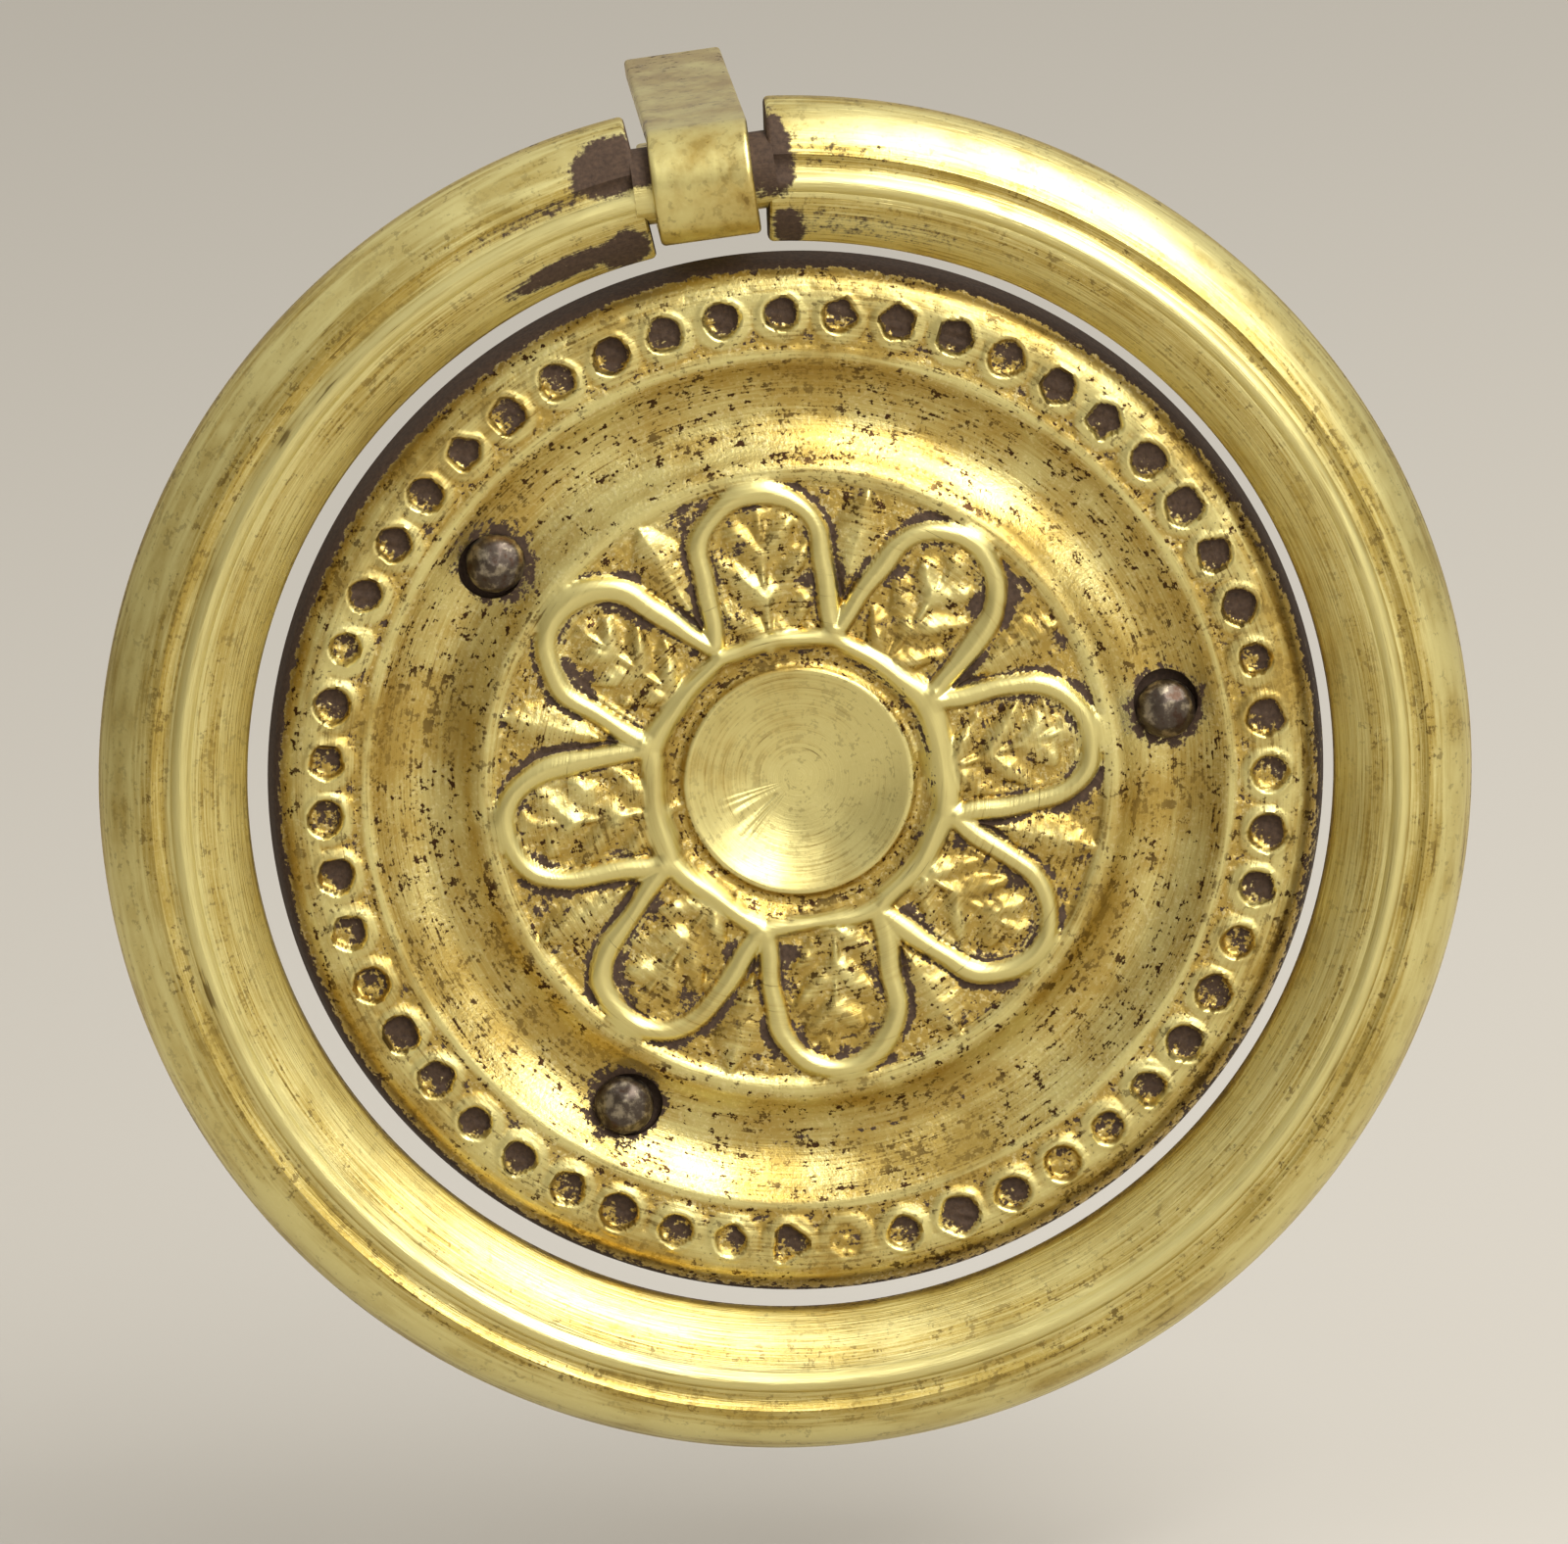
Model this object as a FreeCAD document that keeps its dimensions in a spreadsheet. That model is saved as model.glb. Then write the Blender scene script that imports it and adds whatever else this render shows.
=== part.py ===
"""Brass ring pull handle: a stamped plate with a raised flower, a moulded ring on a strap, three pins.

Millimetres. X runs to the right, Z up and -Y out of the drawer front. The origin is the middle of the
plate's back rim, on the face of the wood.
"""
import FreeCAD, Part
import math
import os

import Sketcher

DOCUMENT = FreeCAD.newDocument("ring_pull")

# Driving sizes in millimetres, angles in degrees clockwise from the top as seen from the front.
SIZES = {
    # stamped plate, from its rim inwards; heights are from the wood
    "rim_radius": 27.0,
    "rim_wall_height": 1.0,
    "rim_inset": 0.3,
    "rim_wall": 1.5,
    "shoulder_width": 1.35,
    "shoulder_rise": 0.3,
    "dot_band_width": 2.4,
    "dot_band_height": 2.5,
    "trough_margin": 0.9,
    "trough_width": 5.85,
    "trough_depth": 1.2,
    "trough_edge_rise": 0.16,
    "flower_edge_width": 0.6,
    "field_height": 2.2,
    "seat_radius": 7.7,
    "groove_radius": 6.2,
    "groove_height": 1.75,
    "dish_radius": 5.75,
    "dish_lip_height": 2.05,
    "dish_depth": 1.05,
    "dish_flat_radius": 1.9,
    "sheet": 0.6,
    "plate_angle": -1.5,
    # ring of punched dots
    "dot_pitch": 2.97,
    "dot_lip_radius": 1.28,
    "dot_crest_radius": 1.05,
    "dot_crest_height": 0.25,
    "dot_depth": 0.5,
    "dot_sides": 6,
    # flower
    "petal_count": 8,
    "petal_half_width": 3.4,
    "petal_start": 7.9,
    "petal_end_gap": 0.3,
    "ridge_width": 0.65,
    "ridge_height": 0.5,
    "leaf_inset": 1.1,
    "leaf_half_width": 2.0,
    "leaf_length": 5.0,
    "leaf_height": 0.3,
    "dart_half_width": 0.9,
    "dart_length": 5.2,
    "dart_height": 0.35,
    "collar_cusp_radius": 8.4,
    "collar_rise": 0.43,
    "collar_bore": 7.35,
    "collar_height": 0.75,
    # moulded ring, from its rim inwards; heights are from its flat back
    "ring_gap": 0.7,
    "ring_width": 7.3,
    "ring_edge_height": 1.0,
    "moulding_height": 3.5,
    "outer_band_width": 2.25,
    "outer_band_rise": 0.62,
    "cove_width": 1.15,
    "cove_rise": 0.25,
    "ring_bead_width": 1.1,
    "ring_bead_rise": 0.42,
    "inner_band_rise": 0.35,
    "bore_edge_height": 1.2,
    "ring_shift_right": -0.3,
    "ring_shift_up": 0.59,
    # neck of the ring and the strap round it
    "neck_radius": 1.95,
    "neck_root": 0.2,
    "swing_clearance": 0.1,
    "eye_clearance": 0.3,
    "strap_side_gap": 0.9,
    "strap_width": 5.1,
    "strap_thickness": 1.1,
    "tail_length": 24.0,
    "tail_bevel": 0.6,
    # pins
    "pin_head_radius": 1.53,
    "pin_head_height": 1.15,
    "pin_head_sides": 8,
    "pin_seat_clearance": 0.02,
    "pin_shank_radius": 0.75,
    "pin_shank_length": 10.0,
    "pin_point_length": 2.0,
    "pin_hole_radius": 1.65,
    "pin_hole_drift": 0.35,
    "pin_right_angle": 88.8,
    "pin_lower_left_angle": 217.2,
    "pin_upper_left_angle": 315.7,
    "pin_right_drift_angle": 9.5,
    "pin_lower_left_drift_angle": 101.5,
    "pin_upper_left_drift_angle": 236.5,
}


class Size:
    """A number together with the sheet expression that it comes from."""

    def __init__(self, number, text):
        self.number = number
        self.text = text

    def __add__(self, other):
        return join(self, "+", other)

    def __radd__(self, other):
        return join(other, "+", self)

    def __sub__(self, other):
        return join(self, "-", other)

    def __rsub__(self, other):
        return join(other, "-", self)

    def __mul__(self, other):
        return join(self, "*", other)

    def __rmul__(self, other):
        return join(other, "*", self)

    def __truediv__(self, other):
        return join(self, "/", other)

    def __rtruediv__(self, other):
        return join(other, "/", self)

    def __neg__(self):
        return join(0, "-", self)


def as_size(value):
    """Take a plain number as a Size of its own."""
    return value if isinstance(value, Size) else Size(float(value), repr(float(value)))


def join(left, sign, right):
    """Work out a sum, difference, product or quotient, as a number and as an expression."""
    left, right = as_size(left), as_size(right)
    number = {
        "+": lambda a, b: a + b,
        "-": lambda a, b: a - b,
        "*": lambda a, b: a * b,
        "/": lambda a, b: a / b,
    }[sign](left.number, right.number)
    return Size(number, f"({left.text} {sign} {right.text})")


def sine(turn):
    """Sine of an angle in degrees."""
    turn = as_size(turn)
    return Size(math.sin(math.radians(turn.number)), f"sin({turn.text} * 1 deg)")


def cosine(turn):
    """Cosine of an angle in degrees."""
    turn = as_size(turn)
    return Size(math.cos(math.radians(turn.number)), f"cos({turn.text} * 1 deg)")


def root(area):
    """Square root of a size."""
    return Size(math.sqrt(area.number), f"sqrt({area.text})")


def make_sheet():
    """Write the driving sizes into a spreadsheet, one aliased cell each."""
    sheet = DOCUMENT.addObject("Spreadsheet::Sheet", "sizes")
    for row, (alias, value) in enumerate(SIZES.items(), start=1):
        sheet.set(f"A{row}", alias)
        sheet.set(f"B{row}", str(value))
        sheet.setAlias(f"B{row}", alias)
    DOCUMENT.recompute()
    return sheet


SHEET = make_sheet()


def size(alias):
    """One driving size from the sheet."""
    return Size(float(SHEET.get(alias)), f"sizes.{alias}")


def make_body(label):
    """Start a sub-part: a body whose label names its file."""
    body = DOCUMENT.addObject("PartDesign::Body", label)
    body.Label = label
    return body


def place(item, across, back, up):
    """Put an item's own origin at a point of the handle."""
    item.setExpression("Placement.Base.x", as_size(across).text)
    item.setExpression("Placement.Base.y", as_size(back).text)
    item.setExpression("Placement.Base.z", as_size(up).text)


def turn_with_plate(item):
    """Turn an item about the plate's axis as far as the plate itself was nailed on askew."""
    item.Placement = FreeCAD.Placement(FreeCAD.Vector(), FreeCAD.Rotation(FreeCAD.Vector(0, 1, 0), 1))
    item.setExpression("Placement.Rotation.Angle", size("plate_angle").text)


def origin_item(body, role):
    """One of the body's own origin planes or axes."""
    return next(item for item in body.Origin.OriginFeatures if item.Role == role)


def add_sketch(body, role, name, forward=None):
    """Lay a sketch on one of the body's origin planes, or that far in front of it."""
    sketch = body.newObject("Sketcher::SketchObject", name)
    sketch.AttachmentSupport = [(origin_item(body, role), "")]
    sketch.MapMode = "FlatFace"
    if forward is not None:
        sketch.setExpression("AttachmentOffset.Base.z", forward.text)
    return sketch


def line_to(across, up):
    """A straight stretch of an outline."""
    return (as_size(across), as_size(up), None, None)


def arc_to(across, up, radius, bulge):
    """An arc of up to a quarter turn, bulging to the left or the right of the way it runs."""
    return (as_size(across), as_size(up), as_size(radius), bulge)


def turned(across, up, turn):
    """A point of the plate's face, turned about the plate's middle."""
    return across * cosine(turn) + up * sine(turn), up * cosine(turn) - across * sine(turn)


def evenly(steps):
    """Ends of equal steps along a stretch, as shares of it."""
    return [step / steps for step in range(1, steps + 1)]


def bow(start, end, rise, breaks):
    """A shallow curve of a turned section, in straight facets, that swells forwards by its rise."""
    stretches = []
    for along in breaks:
        swell = 4 * along * (1 - along)
        across = start[0] + along * (end[0] - start[0]) - swell * rise
        up = start[1] + along * (end[1] - start[1])
        stretches.append(line_to(across, up))
    return stretches


def half_bow(start, end, depth, breaks):
    """The wall of a shallow bowl in straight facets, steep at its lip and level at its end."""
    stretches = []
    for along in breaks:
        across = start[0] + (2 - along) * along * depth
        up = start[1] + along * (end[1] - start[1])
        stretches.append(line_to(across, up))
    return stretches


def round_end(radius, centre_up, way):
    """The round end of a petal in five facets: up and over to the right (1) or back to the left (-1)."""
    return [
        line_to(-way * radius * cosine(180 * along), centre_up + radius * sine(180 * along))
        for along in evenly(5)
    ]


def curve_between(start, end, radius, bulge):
    """The line or arc from one point of an outline to the next."""
    if radius is None:
        return Part.LineSegment(start, end)
    chord = end - start
    side = FreeCAD.Vector(-chord.y, chord.x, 0).normalize()
    if bulge == "right":
        side = -side
    rise = radius.number - math.sqrt(radius.number**2 - (chord.Length / 2) ** 2)
    return Part.Arc(start, (start + end) / 2 + side * rise, end)


def bind(sketch, kind, *where, to):
    """Add a dimension to a sketch and tie it to the sheet."""
    spot = sketch.addConstraint(Sketcher.Constraint(kind, *where, to.number))
    sketch.setExpression(f"Constraints[{spot}]", to.text)


def hold_point(sketch, geometry, vertex, across, up):
    """Hold a vertex at its distances from the sketch's origin."""
    for kind, axis, distance in (("DistanceX", -2, across), ("DistanceY", -1, up)):
        if distance.text == as_size(0).text:
            sketch.addConstraint(Sketcher.Constraint("PointOnObject", geometry, vertex, axis))
        else:
            bind(sketch, kind, -1, 1, geometry, vertex, to=distance)


def draw_outline(sketch, start, stretches):
    """Draw a closed outline of lines and arcs, with every corner tied to the sheet."""
    corners = [(as_size(start[0]), as_size(start[1]))]
    corners += [(across, up) for across, up, _, _ in stretches]
    shapes = [(radius, bulge) for _, _, radius, bulge in stretches]
    if (corners[0][0].text, corners[0][1].text) == (corners[-1][0].text, corners[-1][1].text):
        corners.pop()
    else:
        shapes.append((None, None))
    spots = [FreeCAD.Vector(across.number, up.number, 0) for across, up in corners]
    drawn = []
    for (radius, bulge), begin, finish in zip(shapes, spots, spots[1:] + spots[:1]):
        index = sketch.addGeometry(curve_between(begin, finish, radius, bulge), False)
        first = 1 if sketch.getPoint(index, 1).distanceToPoint(begin) < 1e-6 else 2
        drawn.append((index, first, 3 - first))
    for (index, _, last), (following, first, _) in zip(drawn, drawn[1:] + drawn[:1]):
        sketch.addConstraint(Sketcher.Constraint("Coincident", index, last, following, first))
    for (across, up), (index, first, _) in zip(corners, drawn):
        hold_point(sketch, index, first, across, up)
    for (radius, _), (index, _, _) in zip(shapes, drawn):
        if radius is not None:
            bind(sketch, "Radius", index, to=radius)


def draw_circle(sketch, across, up, radius):
    """Draw a circle whose centre and radius are tied to the sheet."""
    across, up = as_size(across), as_size(up)
    centre = FreeCAD.Vector(across.number, up.number, 0)
    index = sketch.addGeometry(Part.Circle(centre, FreeCAD.Vector(0, 0, 1), radius.number), False)
    hold_point(sketch, index, 3, across, up)
    bind(sketch, "Radius", index, to=radius)


def revolve(body, sketch, name):
    """Turn a section right round the sketch's horizontal axis."""
    solid = body.newObject("PartDesign::Revolution", name)
    solid.Profile = sketch
    solid.ReferenceAxis = (sketch, ["H_Axis"])
    solid.Angle = 360.0
    return solid


def extrude(body, sketch, name, length, kind="Pad", both_ways=False):
    """Pad or pocket a sketch by a length."""
    feature = body.newObject(f"PartDesign::{kind}", name)
    feature.Profile = sketch
    feature.setExpression("Length", length.text)
    feature.Midplane = both_ways
    return feature


def repeat_round(body, originals, name, count):
    """Repeat features evenly round the body's Y axis."""
    pattern = body.newObject("PartDesign::PolarPattern", name)
    pattern.Originals = originals
    pattern.Axis = (origin_item(body, "Y_Axis"), [""])
    pattern.Angle = 360.0
    pattern.setExpression("Occurrences", count.text)
    body.Tip = pattern
    return pattern


def stump(ends, sides):
    """A solid with flat sides about the Y axis, through rings of corners at heights in front of the wood.

    Each of the ends is a height and a radius. A radius of nothing brings the sides to a point.
    """
    sides = round(sides.number)
    rings = []
    for height, radius in ends:
        reach = as_size(radius).number
        turns = [2 * math.pi * (side + 0.5) / sides for side in range(sides if reach > 0 else 1)]
        back = -as_size(height).number
        rings.append([FreeCAD.Vector(reach * math.sin(t), back, reach * math.cos(t)) for t in turns])
    outlines = [ring for ring in (rings[0], rings[-1]) if len(ring) > 1]
    for lower, upper in zip(rings, rings[1:]):
        for side in range(sides):
            corners = [lower[side % len(lower)], lower[(side + 1) % len(lower)]]
            corners += [upper[(side + 1) % len(upper)], upper[side % len(upper)]]
            outlines.append([spot for place, spot in enumerate(corners) if spot not in corners[:place]])
    solid = Part.Solid(Part.Shell([Part.Face(Part.makePolygon(line + line[:1])) for line in outlines]))
    if solid.Volume < 0:
        solid.reverse()
    return solid


def feature_of(shape, name):
    """Put a worked-out shape into the document."""
    feature = DOCUMENT.addObject("Part::Feature", name)
    feature.Shape = shape
    return feature


def combine(kind, label, base, tool):
    """Fuse a tool to a base, or cut it from the base."""
    result = DOCUMENT.addObject(f"Part::{kind}", label)
    result.Base = base
    result.Tool = tool
    result.Label = label
    return result


# Places that more than one piece is built from.
SHOULDER_RADIUS = size("rim_radius") - size("rim_inset") - size("shoulder_width")
BAND_RADIUS = SHOULDER_RADIUS - size("dot_band_width")
TROUGH_RADIUS = BAND_RADIUS - size("trough_margin")
FLOWER_RADIUS = TROUGH_RADIUS - size("trough_width")
FIELD_RADIUS = FLOWER_RADIUS - size("flower_edge_width")
TROUGH_SAG = size("trough_depth") + size("trough_edge_rise")
TROUGH_FLOOR = size("field_height") - size("trough_depth")
PETAL_TOP = FIELD_RADIUS - size("petal_end_gap")
PETAL_STEP = 360 / size("petal_count")

RING_BORE = size("rim_radius") + size("ring_gap")
RING_RADIUS = RING_BORE + size("ring_width")
NECK_HEIGHT = RING_BORE + size("ring_width") / 2
RING_HALF_GAP = size("strap_width") / 2 + size("strap_side_gap")
RING_CORNER_REACH = root(
    size("ring_width") * size("ring_width") / 4 + size("neck_radius") * size("neck_radius")
)
PIVOT_DEPTH = RING_CORNER_REACH + size("swing_clearance")
PIVOT_UP = size("ring_shift_up") + NECK_HEIGHT

PINS = ("pin_right", "pin_lower_left", "pin_upper_left")
PIN_CIRCLE = FLOWER_RADIUS + size("trough_width") / 2
PIN_SPAN = 2 * size("pin_head_radius") / size("trough_width")
PIN_SEAT = TROUGH_FLOOR + TROUGH_SAG * PIN_SPAN * PIN_SPAN + size("pin_seat_clearance")


def plate_blank(body):
    """The plate before its flower and dots, turned about its axis, with a shallow recess in its back.

    The trough's facets break under the rims of the pin heads, which sit on those edges.
    """
    band, field = -size("dot_band_height"), -size("field_height")
    trough_top = field - size("trough_edge_rise")
    lip = -size("dish_lip_height")
    rim_wall = (-size("rim_wall_height"), size("rim_radius") - size("rim_inset"))
    trough_breaks = [0.5 - PIN_SPAN / 2, 0.5, 0.5 + PIN_SPAN / 2, 1]
    dish_edge = (lip, size("dish_radius"))
    dish_wall = half_bow(dish_edge, (lip, size("dish_flat_radius")), size("dish_depth"), evenly(2))
    sketch = add_sketch(body, "YZ_Plane", "plate_section")
    draw_outline(
        sketch,
        (0, size("rim_radius")),
        [
            line_to(*rim_wall),
            *bow(rim_wall, (band, SHOULDER_RADIUS), size("shoulder_rise"), evenly(2)),
            line_to(band, BAND_RADIUS),
            line_to(trough_top, TROUGH_RADIUS),
            *bow((trough_top, TROUGH_RADIUS), (trough_top, FLOWER_RADIUS), -TROUGH_SAG, trough_breaks),
            line_to(field, FIELD_RADIUS),
            line_to(field, size("seat_radius")),
            line_to(-size("groove_height"), size("groove_radius")),
            line_to(*dish_edge),
            *dish_wall,
            line_to(lip + size("dish_depth"), 0),
            line_to(size("sheet") - TROUGH_FLOOR, 0),
            line_to(size("sheet") - TROUGH_FLOOR, size("rim_radius") - size("rim_wall")),
            line_to(0, size("rim_radius") - size("rim_wall")),
        ],
    )
    return revolve(body, sketch, "plate_blank")


def raise_on_field(body, name, height):
    """Start a sketch of a raised form of the flower, rooted half a sheet deep, and give its full height."""
    root_depth = size("sheet") / 2
    sketch = add_sketch(body, "XZ_Plane", f"{name}_outline", size("field_height") - root_depth)
    return sketch, root_depth + height


def petal_ridge(body):
    """The raised outline of one petal: two straight sides and a round end, open at the collar."""
    outer = size("petal_half_width")
    inner = outer - size("ridge_width")
    start, centre = size("petal_start"), PETAL_TOP - outer
    sketch, height = raise_on_field(body, "petal", size("ridge_height"))
    draw_outline(
        sketch,
        (-outer, start),
        [
            line_to(-outer, centre),
            *round_end(outer, centre, 1),
            line_to(outer, start),
            line_to(inner, start),
            line_to(inner, centre),
            *round_end(inner, centre, -1),
            line_to(-inner, start),
        ],
    )
    return extrude(body, sketch, "petal_ridge", height)


def petal_leaf(body):
    """The pointed leaf inside one petal, with a lobe to each side."""
    width, length = size("leaf_half_width"), size("leaf_length")
    tip = PETAL_TOP - size("leaf_inset")
    right_side = [(0.42 * width, tip - 0.26 * length), (width, tip - 0.4 * length)]
    sketch, height = raise_on_field(body, "leaf", size("leaf_height"))
    draw_outline(
        sketch,
        (0, tip),
        [
            *[line_to(across, up) for across, up in right_side],
            line_to(0, tip - length),
            *[line_to(-across, up) for across, up in reversed(right_side)],
        ],
    )
    return extrude(body, sketch, "petal_leaf", height)


def dart_between_petals(body):
    """The pointed dart that fills the corner between two petals."""
    width, length = size("dart_half_width"), size("dart_length")
    turn = PETAL_STEP / 2
    sketch, height = raise_on_field(body, "dart", size("dart_height"))
    draw_outline(
        sketch,
        turned(as_size(0), PETAL_TOP, turn),
        [
            line_to(*turned(width, PETAL_TOP - 0.4 * length, turn)),
            line_to(*turned(as_size(0), PETAL_TOP - length, turn)),
            line_to(*turned(-width, PETAL_TOP - 0.4 * length, turn)),
        ],
    )
    return extrude(body, sketch, "dart", height)


def collar(body):
    """The collar round the dish: a bowed side to each petal and a cusp between petals, with a round bore."""
    cusp = size("collar_cusp_radius")
    bulge = cusp * cosine(PETAL_STEP / 2) + size("collar_rise")
    corners = []
    for number in range(round(size("petal_count").number)):
        corners.append(turned(as_size(0), bulge, PETAL_STEP * number))
        corners.append(turned(as_size(0), cusp, PETAL_STEP * (number + 0.5)))
    sketch, height = raise_on_field(body, "collar", size("collar_height"))
    draw_outline(sketch, corners[-1], [line_to(*corner) for corner in corners])
    draw_circle(sketch, 0, 0, size("collar_bore"))
    return extrude(body, sketch, "collar", height)


def pin_holes(body):
    """Three holes through the trough, each a little wider than its pin head and not quite in line with it."""
    sketch = add_sketch(body, "XZ_Plane", "pin_hole_outlines")
    for pin in PINS:
        turn, drift_turn = size(f"{pin}_angle"), size(f"{pin}_drift_angle")
        draw_circle(
            sketch,
            PIN_CIRCLE * sine(turn) + size("pin_hole_drift") * sine(drift_turn),
            PIN_CIRCLE * cosine(turn) + size("pin_hole_drift") * cosine(drift_turn),
            size("pin_hole_radius"),
        )
    return extrude(body, sketch, "pin_holes", 4 * size("field_height"), "Pocket", both_ways=True)


def dot_ring(name, dot):
    """Copies of a dot's solid all round the dot band, joined into one tool for the plate."""
    middle = (SHOULDER_RADIUS - size("dot_band_width") / 2).number
    count = math.floor(2 * math.pi * middle / size("dot_pitch").number)
    dot.translate(FreeCAD.Vector(0, 0, middle))
    dots = []
    for number in range(count):
        dots.append(dot.copy())
        dots[-1].rotate(FreeCAD.Vector(), FreeCAD.Vector(0, 1, 0), 360.0 * number / count)
    tool = feature_of(dots[0].multiFuse(dots[1:]), name)
    turn_with_plate(tool)
    return tool


def punch_dots(plate):
    """Raise a lip and sink a pit for every dot; the flanks of the two meet at the dot's sharp crest."""
    band, crest, depth = size("dot_band_height"), size("dot_crest_height"), size("dot_depth")
    lip_radius, crest_radius = size("dot_lip_radius"), size("dot_crest_radius")
    lip_slope = (lip_radius - crest_radius) / crest
    pit_slope = crest_radius / (crest + depth)
    lip = stump(
        [
            (band - crest / 2, lip_radius + lip_slope * crest / 2),
            (band + 2 * crest, lip_radius - 2 * lip_slope * crest),
        ],
        size("dot_sides"),
    )
    pit = stump([(band - depth, 0), (band + 3 * crest, pit_slope * (depth + 3 * crest))], size("dot_sides"))
    lipped = combine("Fuse", "lipped_plate", plate, dot_ring("dot_lips", lip))
    return combine("Cut", "backplate", lipped, dot_ring("dot_pits", pit))


def make_backplate():
    """The stamped plate with its flower, pin holes and ring of dots."""
    body = make_body("plate_pressing")
    turn_with_plate(body)
    plate_blank(body)
    petal = [petal_ridge(body), petal_leaf(body), dart_between_petals(body)]
    repeat_round(body, petal, "flower", size("petal_count"))
    collar(body)
    pin_holes(body)
    return punch_dots(body)


def make_pull_ring():
    """The moulded ring, with a gap at its top that a round neck bridges."""
    body = make_body("pull_ring")
    place(body, size("ring_shift_right"), size("neck_radius") - PIVOT_DEPTH, size("ring_shift_up"))
    front = -size("moulding_height")
    edge = (-size("ring_edge_height"), RING_RADIUS)
    outer_end = (front, RING_RADIUS - size("outer_band_width"))
    cove_end = (front, outer_end[1] - size("cove_width"))
    bead_end = (front, cove_end[1] - size("ring_bead_width"))
    bore_edge = (-size("bore_edge_height"), RING_BORE)
    section = add_sketch(body, "YZ_Plane", "ring_section")
    draw_outline(
        section,
        (0, RING_RADIUS),
        [
            line_to(*edge),
            *bow(edge, outer_end, size("outer_band_rise"), evenly(3)),
            *bow(outer_end, cove_end, -size("cove_rise"), evenly(2)),
            *bow(cove_end, bead_end, size("ring_bead_rise"), evenly(2)),
            *bow(bead_end, bore_edge, size("inner_band_rise"), evenly(2)),
            line_to(0, RING_BORE),
        ],
    )
    revolve(body, section, "moulded_ring")
    half, margin = RING_HALF_GAP, size("ring_width") / 2
    gap = add_sketch(body, "XZ_Plane", "gap_outline")
    draw_outline(
        gap,
        (-half, RING_BORE - margin),
        [
            line_to(-half, RING_RADIUS + margin),
            line_to(half, RING_RADIUS + margin),
            line_to(half, RING_BORE - margin),
        ],
    )
    extrude(body, gap, "strap_gap", 4 * size("moulding_height"), "Pocket", both_ways=True)
    neck = add_sketch(body, "YZ_Plane", "neck_outline")
    draw_circle(neck, -size("neck_radius"), NECK_HEIGHT, size("neck_radius"))
    extrude(body, neck, "neck", 2 * (half + size("neck_root")), both_ways=True)
    return body


def make_knuckle_strap():
    """The strap that bends over the ring's neck; its two tails go back through the drawer front."""
    body = make_body("knuckle_strap")
    place(body, size("ring_shift_right"), -PIVOT_DEPTH, PIVOT_UP)
    inner = size("neck_radius") + size("eye_clearance")
    outer = inner + size("strap_thickness")
    tip = PIVOT_DEPTH + size("tail_length")
    bevel = size("tail_bevel")
    sketch = add_sketch(body, "YZ_Plane", "strap_outline")
    draw_outline(
        sketch,
        (tip, outer - bevel),
        [
            line_to(tip - 2 * bevel, outer),
            line_to(0, outer),
            arc_to(-outer, 0, outer, "right"),
            arc_to(0, -outer, outer, "right"),
            line_to(tip - 2 * bevel, -outer),
            line_to(tip, bevel - outer),
            line_to(tip, -inner),
            line_to(0, -inner),
            arc_to(-inner, 0, inner, "left"),
            arc_to(0, inner, inner, "left"),
            line_to(tip, inner),
        ],
    )
    extrude(body, sketch, "bent_strap", size("strap_width"), both_ways=True)
    return body


def make_pin(label):
    """A pin with a hammered head that sits in the trough and a shank that goes into the wood."""
    turn = size(f"{label}_angle") + size("plate_angle")
    spot = (PIN_CIRCLE * sine(turn), as_size(0), PIN_CIRCLE * cosine(turn))
    head, height, shank = size("pin_head_radius"), size("pin_head_height"), size("pin_shank_radius")
    shank_end = -size("pin_shank_length")
    hammered_head = feature_of(
        stump(
            [
                (PIN_SEAT, head),
                (PIN_SEAT + 0.5 * height, 0.9 * head),
                (PIN_SEAT + height, 0.45 * head),
            ],
            size("pin_head_sides"),
        ),
        f"{label}_head",
    )
    point = feature_of(
        stump([(shank_end + shank, 0.7 * shank), (shank_end, 0.7 * shank),
               (shank_end - size("pin_point_length"), 0)], as_size(4)),
        f"{label}_point",
    )
    wire = DOCUMENT.addObject("Part::Cylinder", f"{label}_wire")
    wire.Placement = FreeCAD.Placement(FreeCAD.Vector(), FreeCAD.Rotation(FreeCAD.Vector(1, 0, 0), -90))
    wire.setExpression("Radius", shank.text)
    wire.setExpression("Height", (size("pin_shank_length") + PIN_SEAT + height / 2).text)
    place(wire, spot[0], -(PIN_SEAT + height / 2), spot[2])
    for item in (hammered_head, point):
        place(item, *spot)
    pin = DOCUMENT.addObject("Part::MultiFuse", label)
    pin.Shapes = [wire, hammered_head, point]
    pin.Label = label
    return pin


def check_and_export(pieces):
    """Stop at anything that failed to build, and write one STEP file for each piece."""
    DOCUMENT.recompute()
    for item in DOCUMENT.Objects:
        if "Invalid" in item.State or "Error" in item.State:
            raise RuntimeError(f"{item.Label} did not build: {item.State}")
    os.makedirs("parts", exist_ok=True)
    for piece in pieces:
        shape = piece.Shape
        if shape.isNull() or not shape.isValid() or len(shape.Solids) != 1:
            raise RuntimeError(f"{piece.Label} is not one good solid")
        shape.exportStep(f"parts/{piece.Label}.step")


check_and_export([make_backplate(), make_pull_ring(), make_knuckle_strap(), *map(make_pin, PINS)])
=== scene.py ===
"""Ring pull handle dressed for its picture: worn brass plate, ring and strap, three hammered iron pins.

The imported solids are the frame. The finer pieces made here stand for them and ride on their bodies.
Sizes in the classes are in millimetres, turns in degrees clockwise from the top as seen from the front.
"""

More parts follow.
